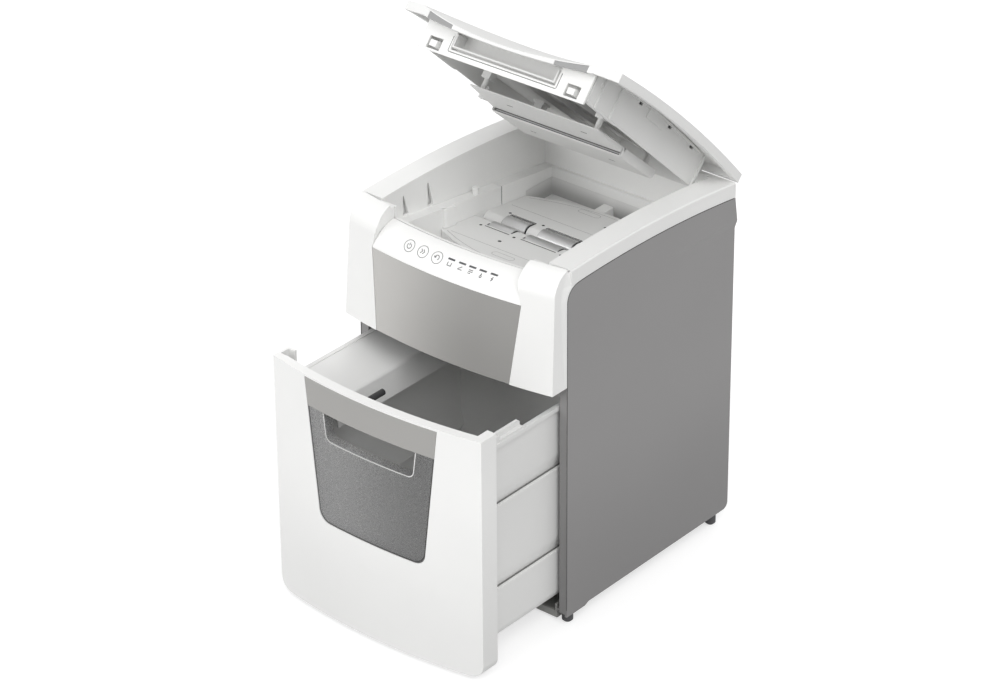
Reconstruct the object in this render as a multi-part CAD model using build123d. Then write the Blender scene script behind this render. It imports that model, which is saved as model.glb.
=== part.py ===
"""Paper shredder: cabinet, pull-out bin, auto-feed paper bay under a hinged lid, and its cutting block.

Millimetres. +X is the right-hand side, +Y the rear, +Z up. The origin is on the floor, under the middle
of the side panels. The drawer is modelled closed and then drawn out, the lid is modelled closed and then
raised, so that the part rests in the state in which it is emptied and filled.
"""
import os
from math import atan2, cos, degrees, pi, radians, sin, sqrt

from build123d import *

# Cabinet
cabinet_width = 320.0
panel_depth = 320.0
panel_bottom = 17.0
skirt_drop = 3.0
skin = 3.0
seam = 0.4
opening_flange = 11.5
foot_radius = 7.0
foot_inset = 10.0

# Arched top line of the side panels, seen from the side
crown_height = 465.7
crown_setback = 105.0
crown_radius = 1700.0
rim_height = 20.0
panel_corner_radius = 20.0

# Front: bowed about one vertical axis far behind the cabinet; its upper half leans back a little
bow_reach = 43.5
bow_radius = 808.0
split_rise = 12.0
split_gap = 2.5
front_lean = 0.068
shoulder_taper = 0.026
shoulder_rise = 18.8
shoulder_round = 33.0
shoulder_rear_inset = 5.0
centre_margin = 57.5
centre_slope = 0.11
strip_height = 29.0
strip_rear_drop = 0.2
strip_rear_inset = 39.0
strip_rear_margin = 53.0
strip_bulge = 6.0

# Rear wall fittings
inlet_margin = 32.0
inlet_width = 30.0
inlet_height = 22.0
inlet_drop = 7.0
rocker_margin = 70.0
rocker_width = 16.0
rocker_tilt = 7.0
vent_rows = 9
vent_height = 4.0
vent_rise = 17.0
vent_margin = 98.0
vent_half_length = 32.0

# Paper bay
bay_margin = 33.0
bay_front_inset = 6.0
bay_rear_inset = 9.0
ledge_width = 15.0
ledge_drop = 35.7
ledge_slope = 0.117
bed_drop = 25.7
pocket_depth_front = 43.0
pocket_depth_rear = 55.0
well_wall_height = 58.0
bed_room_front = 58.0
bed_room_rear = 27.0
rail_room = 92.0
rail_length = 110.0
rail_depth = 26.0
plunger_inset = 9.0
plunger_radius = 4.0
plunger_setback = 68.0
plunger_rise = 8.0

# Feed throat and rollers
throat_y = 8.0
throat_half_gap = 1.0
lip_depth = 2.0
roller_shaft_radius = 4.0
roller_margin = 30.0
roller_side_length = 36.0
roller_middle_half = 26.0
roller_slot_gap = 1.5

# Cutting block
cutter_mesh = 2.0
cutter_core_depth = 5.0
cutter_shaft_radius = 6.0
disc_pitch = 9.0
disc_gap = 0.3
disc_margin = 9.0
frame_margin = 43.0
frame_thickness = 3.0
deck_clearance = 1.93
running_clearance = 0.05
rod_radius = 3.0
bush_radius = 9.0
roller_bush_radius = 6.5

# Gear train, all of one module
gear_module = 2.0
cutter_teeth = 19
idler_teeth = 8
roller_teeth = 14
reduction_small_teeth = 10
reduction_big_teeth = 30
pinion_teeth = 8
gear_gap = 2.5
gear_width = 7.5
second_gear_gap = 2.0
second_gear_width = 6.0
motor_radius = 24.0
motor_length = 90.0
motor_shaft_radius = 4.0
idler_pin_radius = 3.0
reduction_pin_radius = 4.0

# Drawer
drawer_pull = 127.8
drawer_bottom = 6.0
drawer_skin = 3.5
drawer_lip = 12.0
drawer_return = 13.0
drawer_corner_radius = 18.0
window_bottom = 138.0
band_drop = 40.75
finger_depth = 35.0
finger_margin = 36.5
bin_side_room = 14.0
bin_headroom = 17.0
bin_bottom = 32.0
bin_reach = 16.0
bin_rear_room = 30.0
hanger_bottom = 60.0
hanger_drop = 27.75
hanger_inset = 20.0
bin_wall = 2.5
bin_rim = 3.6
groove_ledges = (216.0, 102.0)
groove_height = 21.0
groove_depth = 6.0
runner_gap = 0.3
switch_pin_x = -12.0
switch_pin_drop = 8.25
switch_pin_length = 38.0
switch_pin_radius = 4.0

# Lid
lid_open_angle = 41.0
hinge_setback = 4.0
hinge_rise = 10.3
hinge_pin_radius = 2.5
hinge_barrel_radius = 4.6
lid_gap = 0.6
lid_edge = 11.5
lid_skin = 3.1
lid_tail = 4.0
lid_front_inset = 34.5
lid_frame_inset = 5.0
lid_frame_drop = 17.5
lid_frame_slope = 0.035
fascia_inset = 13.0
fascia_drop = 3.0
cup_margin = 45.5
cup_drop = 5.7
cup_height = 16.0
cup_swing = 2.7
latch_inset = 19.0
latch_window_half = 10.0
latch_window_z = (-9.5, 5.5)
handle_pivot_inset = 36.0
handle_pivot_rise = 14.3
plate_margin = 30.0
plate_reach_front = 65.0
plate_reach_rear = 82.0
plate_drop = 19.7
plate_flange = 12.5
plate_wall = 2.5
post_radius = 3.5
web_rise = 4.3
guide_inset = 11.0
guide_end = 12.0
guide_half = 6.0
hinge_ear_margin = 54.0
hinge_ear_width = 10.0
hinge_pin_reach = 10.0
latch_rod_radius = 3.0
seal_margin = 3.0
seal_length = 43.0
seal_depth = 4.0
nose_height = 13.1
nose_reach = 5.0
nose_radius = 690.0
nose_rise = 17.0
nose_skin = 4.5
nose_margin = 35.0
nose_lip_drop = 4.5
nose_lip_radius = 950.0

# Values worked out from the sizes above
half_width = cabinet_width / 2
front_y = -panel_depth / 2
rear_y = panel_depth / 2
inner_x = half_width - skin
crown_y = front_y + crown_setback
bow_front_y = front_y - bow_reach
bow_centre_y = bow_front_y + bow_radius
bow_axis = Axis((0, bow_centre_y, 0), (0, 0, 1))
bow_half_angle = degrees(atan2(half_width, bow_radius)) + 2.0
bed_angle = atan2(ledge_slope, 1.0)
along_bed = (cos(bed_angle), -sin(bed_angle))
off_bed = (sin(bed_angle), cos(bed_angle))
clear_front = bow_front_y - 100.0
clear_top = crown_height + 60.0

shoulder_top = crown_height + shoulder_rise
shoulder_rear_y = front_y + shoulder_rear_inset
centre_half_width = half_width - centre_margin
strip_rear_z = crown_height - strip_rear_drop
strip_bottom = strip_rear_z - strip_height
strip_rear_half = half_width - strip_rear_margin

bay_half_width = half_width - bay_margin
bay_front_y = front_y + bay_front_inset
bay_rear_y = rear_y - bay_rear_inset
well_x = bay_half_width - ledge_width
ledge_height = crown_height - ledge_drop
pocket_floor_front = ledge_height - pocket_depth_front
pocket_floor_rear = ledge_height - pocket_depth_rear
well_wall_bottom = ledge_height - well_wall_height
bed_edge_front = bay_front_y + bed_room_front
bed_edge_rear = bay_rear_y - bed_room_rear
rail_front_y = bay_front_y + rail_room
rail_rear_y = rail_front_y + rail_length
rail_bottom = ledge_height - rail_depth
plunger_x = plunger_inset - bay_half_width
plunger_y = rail_front_y + plunger_setback
plunger_top = ledge_height + plunger_rise

lid_low = rim_height + lid_gap
lid_high = lid_low + lid_edge
lid_under = lid_high - lid_skin
hinge_y = rear_y + hinge_setback
hinge_z = crown_height + hinge_rise
lid_rear_y = hinge_y + lid_tail
lid_tip_y = front_y - 30.0
lid_frame_half_width = bay_half_width - lid_frame_inset
lid_frame_bottom = crown_height - lid_frame_drop
fascia_y = front_y + fascia_inset
cup_half_width = lid_frame_half_width - cup_margin
cup_bottom = crown_height - cup_drop
cup_top = cup_bottom + cup_height
latch_x = lid_frame_half_width - latch_inset
handle_pivot_y = front_y + handle_pivot_inset
handle_pivot_z = crown_height + handle_pivot_rise
plate_half_width = bay_half_width - plate_margin
plate_front_y = throat_y - plate_reach_front
plate_rear_y = throat_y + plate_reach_rear
plate_bottom = lid_frame_bottom - plate_drop
web_bottom = crown_height + web_rise
guide_x = plate_half_width - guide_inset
guide_ys = (plate_front_y + guide_end, plate_rear_y - guide_end)
guide_places = [(side * guide_x, y) for side in (-1, 1) for y in guide_ys]
hinge_ear_x = (half_width - hinge_ear_margin - hinge_ear_width, half_width - hinge_ear_margin)
hinge_pin_span = (hinge_ear_x[0] - hinge_pin_reach, hinge_ear_x[1] + hinge_pin_reach)
seal_span = (lid_frame_half_width - seal_margin - seal_length, lid_frame_half_width - seal_margin)
nose_z = crown_height + nose_height
nose_y = front_y - nose_reach
nose_half_width = half_width - nose_margin
nose_lip_z = nose_z - nose_lip_drop


def ledge_z(y):
    """Height of the sloping ledge that the lid frame closes over."""
    return ledge_height - ledge_slope * y


def bed_z(y):
    """Height of the sloping paper bed."""
    return ledge_z(y) - bed_drop


# Rollers, cutters and gears: all centres follow from the throat and the gear train
roller_spacing = gear_module * roller_teeth
roller_radius = roller_spacing / 2 - throat_half_gap
lip_radius = roller_radius - lip_depth
roller_end = well_x - roller_margin
roller_spans = ((-roller_end, roller_side_length - roller_end), (-roller_middle_half, roller_middle_half),
                (roller_end - roller_side_length, roller_end))
throat_z = bed_z(throat_y) - lip_radius / cos(bed_angle)
half_spacing = roller_spacing / 2
front_roller = (throat_y - half_spacing * along_bed[0], throat_z - half_spacing * along_bed[1])
rear_roller = (throat_y + half_spacing * along_bed[0], throat_z + half_spacing * along_bed[1])
cutter_spacing = gear_module * cutter_teeth
cutter_tip_radius = cutter_spacing / 2 + cutter_mesh
cutter_core_radius = cutter_spacing / 2 - cutter_core_depth
cutter_rear_y = throat_y + cutter_spacing / 2
cutter_front_y = throat_y - cutter_spacing / 2
train_height = gear_module * (cutter_teeth / 2 + idler_teeth + roller_teeth / 2)
cutter_z = rear_roller[1] - sqrt(train_height ** 2 - (cutter_rear_y - rear_roller[0]) ** 2)
rear_cutter = (cutter_rear_y, cutter_z)
front_cutter = (cutter_front_y, cutter_z)
frame_x = half_width - frame_margin
frame_outer = frame_x + frame_thickness
disc_thickness = disc_pitch / 2 - disc_gap
disc_count = int(2 * (frame_x - disc_margin) / disc_pitch)
gear_x = frame_outer + gear_gap
second_gear_x = gear_x + gear_width + second_gear_gap
shaft_end = gear_x + gear_width + 0.5

# Heights under the cutters: deck, bin, and the line where the drawer ends and the upper front starts
deck_top = cutter_z - cutter_tip_radius - deck_clearance
split_height = deck_top + split_rise
drawer_top = split_height - split_gap / 2
shoulder_bottom = split_height + split_gap / 2
band_bottom = drawer_top - band_drop
finger_bottom = band_bottom - finger_depth
switch_pin_z = drawer_top - switch_pin_drop
bin_half_width = inner_x - bin_side_room
bin_top = deck_top - bin_headroom
bin_front_y = front_y - bin_reach
bin_rear_y = rear_y - bin_rear_room
inlet_x = (inlet_margin - half_width, inlet_margin + inlet_width - half_width)
inlet_z = (deck_top - inlet_drop - inlet_height, deck_top - inlet_drop)
rocker_x = (rocker_margin - half_width, rocker_margin + rocker_width - half_width)


def crown_z(y, offset):
    """Height of the arched top line, raised by offset along its radius."""
    return crown_height - crown_radius + sqrt((crown_radius + offset) ** 2 - (y - crown_y) ** 2)


def centre_half(z):
    """Half width of the middle of the front: it widens up to the visor, whose sides then draw in."""
    widest = centre_half_width + centre_slope * (strip_bottom - split_height)
    if z <= strip_bottom:
        return centre_half_width + centre_slope * (z - split_height)
    share = min(1.0, (z - strip_bottom) / (strip_rear_z - strip_bottom))
    return widest + (strip_rear_half - widest) * share


def front_face_y(z):
    """Depth of the leaning front face at a height, in the middle of the bow."""
    return bow_front_y + front_lean * (z - split_height)


def outline(points):
    return make_face(Polyline(*points, close=True))


def block(x0, x1, y0, y1, z0, z1):
    return Pos((x0 + x1) / 2, (y0 + y1) / 2, (z0 + z1) / 2) * Box(x1 - x0, y1 - y0, z1 - z0)


def along_x(face, x0, x1):
    """A flat outline in Y and Z, carried along X."""
    return extrude(Plane.YZ.offset(x0) * face, amount=x1 - x0)


def along_y(face, y0, y1):
    """A flat outline in X and Z, carried along Y."""
    return extrude(Plane.XZ.offset(-y1) * face, amount=y1 - y0)


def along_z(face, z0, z1):
    """A flat outline in X and Y, carried along Z."""
    return extrude(Plane.XY.offset(z0) * face, amount=z1 - z0)


def rod(y, z, radius, x0, x1):
    return Pos((x0 + x1) / 2, y, z) * Rot(0, 90, 0) * Cylinder(radius, x1 - x0)


def bowed(face):
    """A Y and Z outline swung about the bow axis, wide enough for the whole front."""
    return revolve(Plane.YZ * face, bow_axis, 2 * bow_half_angle).rotate(bow_axis, -bow_half_angle)


def bow_shell(inset_front, inset_rear, z0, z1):
    """A slab of the bowed front between two depths behind its face."""
    return bowed(outline([
        (bow_front_y + inset_front, z0), (bow_front_y + inset_rear, z0),
        (bow_front_y + inset_rear, z1), (bow_front_y + inset_front, z1)]))


def centre_prism(z0, z1, shrink, y0, y1, corner=0.0):
    """The tapered middle of the front as a prism, drawn in by shrink on its sides."""
    low, high = centre_half(z0) - shrink, centre_half(z1) - shrink
    prism = along_y(outline([(-low, z0), (low, z0), (high, z1), (-high, z1)]), y0, y1)
    if corner:
        prism = fillet(prism.edges().filter_by(Axis.Y).sort_by(Axis.Z)[:2], corner)
    return prism


def crown_face(y0, y1, low, high):
    """The strip between two heights over the arched top line."""
    middle = (y0 + y1) / 2
    upper = ThreePointArc((y0, crown_z(y0, high)), (middle, crown_z(middle, high)), (y1, crown_z(y1, high)))
    lower = ThreePointArc((y1, crown_z(y1, low)), (middle, crown_z(middle, low)), (y0, crown_z(y0, low)))
    return make_face(upper + Line(upper @ 1, lower @ 0) + lower + Line(lower @ 1, upper @ 0))


def both_sides(shape):
    return shape + mirror(shape, about=Plane.YZ)


def save(name, shape):
    export_step(shape, f"parts/{name}.step")


# Cabinet shell


def side_panel():
    """Right side panel: arched top, rounded corners, turned-in edges and a flared grip at the rear."""
    skirt_end = front_y + 42.0
    top_rear = crown_z(rear_y, 0)
    top_front = crown_z(front_y, 0)
    arch = ThreePointArc((front_y, top_front), (crown_y, crown_z(crown_y, 0)), (rear_y, top_rear))
    lower = Polyline(
        (rear_y, top_rear), (rear_y, panel_bottom), (skirt_end, panel_bottom),
        (skirt_end - 7.0, panel_bottom - skirt_drop), (front_y, panel_bottom - skirt_drop),
        (front_y, top_front))
    panel = along_x(make_face(arch + lower), inner_x, half_width)
    upright = panel.edges().filter_by(Axis.X)
    panel = fillet(upright.sort_by(lambda e: (e.center().Y - rear_y) ** 2 + e.center().Z ** 2)[:1], 9.0)
    upright = panel.edges().filter_by(Axis.X)
    panel = fillet(upright.sort_by(
        lambda e: (e.center().Y - front_y) ** 2 + (e.center().Z - top_front) ** 2)[:1], panel_corner_radius)
    flange_x = half_width - opening_flange
    flange_top = top_front - 1.5 * panel_corner_radius
    panel += block(flange_x, inner_x, front_y, front_y + skin, panel_bottom, flange_top)
    panel += block(inner_x - 15.0, inner_x, front_y + skin, rear_y - 12.0, panel_bottom, panel_bottom + skin)
    flare = 3.5
    crease = crown_height - 42.7
    flare_start = 30.0
    wide = outline([(half_width - 1, crease - 11), (half_width, crease - 11),
                    (half_width + flare, crease), (half_width, top_rear - 1), (half_width - 1, top_rear - 1)])
    thin = outline([(half_width - 1, crease - 1), (half_width, crease - 1),
                    (half_width + 0.1, crease), (half_width, crease + 6), (half_width - 1, crease + 6)])
    swell = loft([Plane.XZ.offset(-rear_y) * wide, Plane.XZ.offset(-flare_start) * thin])
    return panel + swell


def rear_panel():
    """Rear wall with two banks of vent slots and the cut-outs for inlet and switch."""
    y0 = rear_y - 0.6 - skin
    wall = block(-inner_x + runner_gap, inner_x - runner_gap, y0, y0 + skin, panel_bottom + skin,
                 crown_z(rear_y, 0) - 1.0)
    for bank in (-1, 1):
        for row in range(vent_rows):
            x = bank * (half_width - vent_margin)
            z = deck_top + vent_rise + 2.5 * vent_height * row
            wall -= block(x - vent_half_length, x + vent_half_length, y0 - 1, y0 + skin + 1,
                          z, z + vent_height)
    for x in (inlet_x, rocker_x):
        wall -= block(*x, y0 - 1, y0 + skin + 1, *inlet_z)
    return wall


def power_inlet():
    """Two-pole inlet socket clipped into the rear wall."""
    x0, x1 = inlet_x
    z0, z1 = inlet_z
    y0 = rear_y - 0.6
    body = block(x0 + seam, x1 - seam, y0 - 22.0, y0, z0 + seam, z1 - seam)
    body += block(x0 - 2, x1 + 2, y0, y0 + 2.0, z0 - 2, z1 + 2)
    middle = (z0 + z1) / 2
    centre = (x0 + x1) / 2
    body -= block(x0 + 4, x1 - 4, y0 - 16.0, y0 + 3, middle - 6, middle + 6)
    for side in (-1, 1):
        body += Pos(centre + side * 5.0, y0 - 9.0, middle) * Rot(90, 0, 0) * Cylinder(1.6, 15.0)
    return body


def rocker_bezel():
    """Frame of the mains switch, with trunnion holes for the rocker."""
    x0, x1 = rocker_x
    z0, z1 = inlet_z
    y0 = rear_y - 0.6
    frame = block(x0 + seam, x1 - seam, y0 - 18.0, y0, z0 + seam, z1 - seam)
    frame += block(x0 - 2, x1 + 2, y0, y0 + 2.0, z0 - 2, z1 + 2)
    frame -= block(x0 + 2.4, x1 - 2.4, y0 - 15.0, y0 + 3, z0 + 2.4, z1 - 2.4)
    frame -= rod(y0 - 5.0, (z0 + z1) / 2, 1.5 + running_clearance, x0 + 1, x1 - 1)
    return frame


def mains_rocker():
    """Two-position rocker with a shallow dished face and two trunnions."""
    x0, x1 = rocker_x
    z0, z1 = inlet_z
    y0 = rear_y - 0.6
    middle = (z0 + z1) / 2
    face = outline([(y0 - 8, middle - 5), (y0 + 2.2, middle - 6.5), (y0 + 0.4, middle),
                    (y0 + 2.2, middle + 6.5), (y0 - 8, middle + 5)])
    rocker = along_x(face, x0 + 2.8, x1 - 2.8) + rod(y0 - 5.0, middle, 1.5, x0 + 1.4, x1 - 1.4)
    return rocker.rotate(Axis((0, y0 - 5.0, middle), (1, 0, 0)), -rocker_tilt)


def base_tray():
    """Pan-shaped base with flanges on the panels, two runners for the bin and a pad that meets the floor."""
    pan_x = inner_x - 15.0 - 1.0
    top = panel_bottom + skin
    floor = 4.0
    y0, y1 = front_y + 5.0, rear_y - 13.0
    pan = block(-pan_x, pan_x, y0, y1, floor, top + skin) - block(
        -pan_x + skin, pan_x - skin, y0 + skin, y1 - skin, floor + skin, top + 9)
    pan -= block(-pan_x + skin, pan_x - skin, y0 - 1, y0 + skin + 1, floor + 9.0, top + 9)
    pan += both_sides(block(pan_x - 1, inner_x, y0 + 5, y1, top, top + skin))
    pan += block(-30.0, 30.0, -20.0, 20.0, 0, floor + 1)
    rib = outline([(y0 + skin, floor + 1), (y1 - skin, floor + 1), (y1 - skin, bin_bottom - runner_gap),
                   (y0 + 26.0, bin_bottom - runner_gap), (y0 + skin, bin_bottom - 9.0)])
    rib_x = bin_half_width - 48.0
    return pan + both_sides(along_x(rib, rib_x - skin, rib_x + skin))


def feet():
    """Four turned feet with bevelled ends, under the turned-in edges of the panels."""
    foot = Pos(0, 0, panel_bottom / 2) * Cylinder(foot_radius, panel_bottom)
    foot = chamfer(foot.edges().group_by(Axis.Z)[0], 2.5)
    x = half_width - foot_inset
    return [Pos(sx * x, y, 0) * foot for sx in (-1, 1) for y in (front_y + 14.0, rear_y - 22.0)]


def drawer_rails():
    """Angle rails on the panels, under the rim of the bin."""
    top = bin_top - 6.0 - runner_gap
    x0 = bin_half_width + 0.6
    section = outline([(x0, top - skin), (x0, top), (inner_x, top), (inner_x, top - 18.0),
                       (inner_x - skin, top - 18.0), (inner_x - skin, top - skin)])
    rail = along_y(section, front_y + skin + 2.0, rear_y - 14.0)
    return [rail, mirror(rail, about=Plane.YZ)]


def mechanism_deck():
    """Steel deck over the bin, with the drop opening under the cutters."""
    y0, y1 = front_y + 6.0, rear_y - 4.6
    deck = block(-inner_x, inner_x, y0, y1, deck_top - skin, deck_top)
    drop = block(-frame_x + 5, frame_x - 5, throat_y - cutter_spacing, throat_y + cutter_spacing,
                 deck_top - 9, deck_top + 9)
    return deck - chamfer(drop.edges().filter_by(Axis.Z), 8.0)


# Bowed front


def shoulder_right():
    """Corner cover: bowed leaning face, wrapped side and a rounded top that runs back to the lid."""
    rear = bow_front_y + 60.0
    round_z = shoulder_top - shoulder_round
    round_y = front_face_y(round_z)
    slant = shoulder_round * (1 - cos(pi / 4))
    top_y = round_y + shoulder_round
    arc = ThreePointArc((round_y, round_z), (round_y + slant, shoulder_top - slant), (top_y, shoulder_top))
    side = Polyline((top_y, shoulder_top), (rear, shoulder_top), (rear, shoulder_bottom),
                    (front_face_y(shoulder_bottom), shoulder_bottom), (round_y, round_z))
    solid = bowed(make_face(arc + side))
    solid &= along_y(outline(shoulder_outline(0, shoulder_bottom - 1, clear_top)), bow_front_y - 1,
                     front_y + 30)
    seam_z = crown_z(front_y, 0) - 16.5
    rear_cut = outline([(front_y - 0.3, deck_top), (front_y - 0.3, seam_z), (shoulder_rear_y, seam_z + 18.5),
                        (shoulder_rear_y, clear_top), (clear_front, clear_top), (clear_front, deck_top)])
    solid &= along_x(rear_cut, 0, half_width)
    lid_clear = nose_lip_z + strip_rear_half ** 2 / (2 * nose_lip_radius) - 0.8
    solid -= block(0, half_width + 1, clear_front, 0, lid_clear, clear_top) & lid_front(-0.8)
    hollow_top = shoulder_top - 24.0
    hollow = bowed(outline([
        (front_face_y(shoulder_bottom) + skin, shoulder_bottom - 5), (rear, shoulder_bottom - 5),
        (rear, hollow_top), (round_y + 24.0, hollow_top), (round_y + skin + 5.0, hollow_top - 14.0),
        (round_y + skin, hollow_top - 22.0)]))
    pocket = shoulder_outline(skin, shoulder_bottom - 5, hollow_top)
    return solid - (hollow & along_y(outline(pocket), bow_front_y - 1, front_y + 30))


def shoulder_outline(inset, z0, z1):
    """Front view of a shoulder between two heights, drawn in by inset from its inner and outer sides."""
    def outer_x(z):
        return half_width - inset - shoulder_taper * max(0.0, z - split_height)

    inner = [(centre_half(z) + inset, z) for z in (z0, strip_bottom, min(z1, strip_rear_z), z1)]
    if inset:
        inner[2:] = [(centre_half(strip_bottom) + inset, z1)]
    elif z1 <= strip_rear_z:
        inner.pop()
    return inner + [(outer_x(z1), z1), (outer_x(split_height), split_height), (outer_x(split_height), z0)]


def visor_point(along, above):
    """A point in the visor's section: along its chord from the middle, and above the chord."""
    low = (front_face_y(strip_bottom), strip_bottom)
    high = (bow_front_y + strip_rear_inset, strip_rear_z)
    angle = atan2(high[1] - low[1], high[0] - low[0])
    middle = ((low[0] + high[0]) / 2, (low[1] + high[1]) / 2)
    return (middle[0] + along * cos(angle) - above * sin(angle),
            middle[1] + along * sin(angle) + above * cos(angle))


def visor_half_chord():
    rise = strip_rear_z - strip_bottom
    run = bow_front_y + strip_rear_inset - front_face_y(strip_bottom)
    return sqrt(rise ** 2 + run ** 2) / 2


def control_strip():
    """Visor between the shoulders: one smooth arc from the grey panel up to the edge of the paper bay."""
    half = visor_half_chord()
    outer = ThreePointArc(visor_point(-half, 0), visor_point(0, strip_bulge), visor_point(half, 0))
    inner = ThreePointArc(visor_point(half - 1.0, -skin), visor_point(0, strip_bulge - skin),
                          visor_point(1.0 - half, -skin))
    section = make_face(outer + Line(outer @ 1, inner @ 0) + inner + Line(inner @ 1, outer @ 0))
    return bowed(section) & centre_prism(strip_bottom, strip_rear_z, seam, clear_front, front_y + 60.0)


def front_panel():
    """Grey bowed panel under the visor, flush with the shoulders and leaning with them."""
    top = strip_bottom - 0.6
    foot = shoulder_bottom
    front = 0.6
    plate = bowed(outline([(front_face_y(z) + depth, z) for z, depth in (
        (top, front), (foot, front), (foot, front + skin), (top, front + skin))]))
    return plate & centre_prism(foot, top, seam + 0.2, clear_front, front_y)


def control_board():
    """Touch board under the visor, hung on two pillars, with a row of sensor blocks."""
    def slab(along0, along1, above0, above1, x0, x1):
        return along_x(outline([visor_point(along0, above0), visor_point(along1, above0),
                                visor_point(along1, above1), visor_point(along0, above1)]), x0, x1)

    top = -4.0
    half = centre_half_width - 14.5
    board = slab(-11.0, 11.0, top - 1.6, top, -half, half)
    for x in (-30.0, 30.0):
        board += slab(-2.0, 2.0, top - 0.5, strip_bulge - skin - 0.5, x - 3.0, x + 3.0)
    count = 8
    pitch = (2 * half - 50.0) / (count - 1)
    for i in range(count):
        x = 22.0 - half + pitch * i
        board += slab(-9.0, -4.0, top - 0.5, top + 2.0, x, x + 6.0)
    return board


# Top housing and paper bay


def top_housing():
    """Light moulding with the arched rim, the stepped paper bay and its finger wells."""
    rim_front = shoulder_rear_y + 2.5
    front, back = bay_front_y, bay_rear_y
    out = bay_half_width + skin
    body = along_x(crown_face(rim_front, rear_y, 0.3, rim_height), -half_width, half_width)
    rim_edge = body.edges().filter_by(lambda e: abs(abs(e.center().X) - half_width) < 0.1
                                      and e.length > panel_depth / 2
                                      and e.center().Z > crown_height + rim_height / 2)
    body = chamfer(rim_edge, 1.5)
    under_rim = crown_face(rim_front + skin, rear_y - skin, -20, rim_height - skin)
    body -= both_sides(along_x(under_rim, out, inner_x))
    body -= block(-bay_half_width, bay_half_width, front, back, ledge_height, clear_top)
    body -= block(-bay_half_width, bay_half_width, back + skin, rear_y - skin, ledge_height,
                  crown_z(rear_y, rim_height) - skin)
    above_ledge = outline([(front, ledge_z(front) - skin), (back + skin, ledge_z(back) - skin),
                           (back + skin, clear_top), (front, clear_top)])
    wall = along_x(crown_face(front, back + skin, -80, 3), bay_half_width, out)
    ledge = outline([(front, ledge_z(front) - skin), (back, ledge_z(back) - skin), (back, ledge_z(back)),
                     (front, ledge_z(front))])
    well = outline([(front, well_wall_bottom), (back, well_wall_bottom), (back, ledge_z(back)),
                    (front, ledge_z(front))])
    body += both_sides(wall & along_x(above_ledge, 0, half_width))
    body += both_sides(along_x(ledge, well_x, out))
    body += both_sides(along_x(well, well_x, well_x + skin))
    bay_radius = bow_radius - strip_rear_inset - 2.4
    within_bow = Pos(0, bow_centre_y, 0) * Cylinder(bay_radius, 2 * clear_top)
    bay_front = block(-strip_rear_half + 0.5, strip_rear_half - 0.5, clear_front, front + skin,
                      pocket_floor_front - skin, strip_rear_z - 1.0) & within_bow
    bay_front -= Pos(0, bow_centre_y, 0) * Cylinder(bay_radius - skin, 2 * clear_top)
    corner_top = nose_lip_z + (strip_rear_half - 2) ** 2 / (2 * nose_lip_radius) - lid_gap
    corner = block(strip_rear_half - 2, out, shoulder_rear_y + 0.3, shoulder_rear_y + 0.3 + skin,
                   pocket_floor_front - skin, corner_top)
    body += bay_front + both_sides(corner)
    body += block(-out, out, back, back + skin, ledge_z(back) - skin, crown_z(back, rim_height - 0.5))
    body += block(-well_x - skin, well_x + skin, back - 5, back, well_wall_bottom, ledge_z(back - 5))
    body += block(-well_x, well_x, clear_front, bed_edge_front + 40, pocket_floor_front - skin,
                  pocket_floor_front) & within_bow
    body += block(-well_x, well_x, bed_edge_rear - 20, back, pocket_floor_rear - skin, pocket_floor_rear)
    for x in (-19.0, 19.0):
        body += block(x - 4, x + 4, bed_edge_rear + 3, back, pocket_floor_rear - skin,
                      bed_z(bed_edge_rear) - 4)
    slot_top = crown_height + 5.3
    for y in (rail_front_y - 55.0, rail_front_y - 10.0):
        slot = outline([(y, ledge_z(y) + 1), (y + 10.0, ledge_z(y) + 1), (y + 2.0, slot_top), (y, slot_top)])
        body -= along_x(slot, -out - 1, -bay_half_width + 1)
    rail_top = ledge_z(rail_front_y - 8.0)
    body -= block(-out - 1, -well_x + 1, rail_front_y - seam, rail_rear_y + seam, rail_bottom, rail_top)
    body += block(-out, -bay_half_width, rail_front_y - 2, rail_rear_y + 2, rail_bottom, rail_top + 2)
    for y, z in (front_roller, rear_roller):
        body -= rod(y, z, roller_shaft_radius + 2, -out, out)
    for ear in (-1, 1):
        x0, x1 = sorted((ear * hinge_ear_x[0], ear * hinge_ear_x[1]))
        lug = block(x0, x1, rear_y - skin, hinge_y, hinge_z - 9.0, hinge_z + hinge_barrel_radius)
        body += lug + rod(hinge_y, hinge_z, hinge_barrel_radius, x0, x1)
        body -= rod(hinge_y, hinge_z, hinge_pin_radius, x0 - 1, x1 + 1)
    return body


def switch_rail():
    """Inserted rail that holds the lid switch, with a rounded nose and the plunger's bore."""
    y0, y1 = rail_front_y, rail_rear_y
    side = outline([(y0, rail_bottom), (y1, rail_bottom), (y1, ledge_z(y1)), (y0, ledge_z(y0))])
    rail = along_x(side, -bay_half_width + seam, -well_x)
    nose = rail.edges().filter_by(Axis.Z).sort_by(lambda e: e.center().Y - e.center().X)[:1]
    rail = fillet(nose, 8.0)
    return rail - Pos(plunger_x, plunger_y, ledge_z(plunger_y)) * Cylinder(
        plunger_radius + running_clearance, 24.0)


def lid_plunger():
    """Sprung peg that the closing lid meets."""
    foot = ledge_z(plunger_y) - 7.0
    peg = Pos(plunger_x, plunger_y, (foot + plunger_top) / 2) * Cylinder(plunger_radius, plunger_top - foot)
    return chamfer(peg.edges().group_by(Axis.Z)[-1], 0.8)


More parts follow.
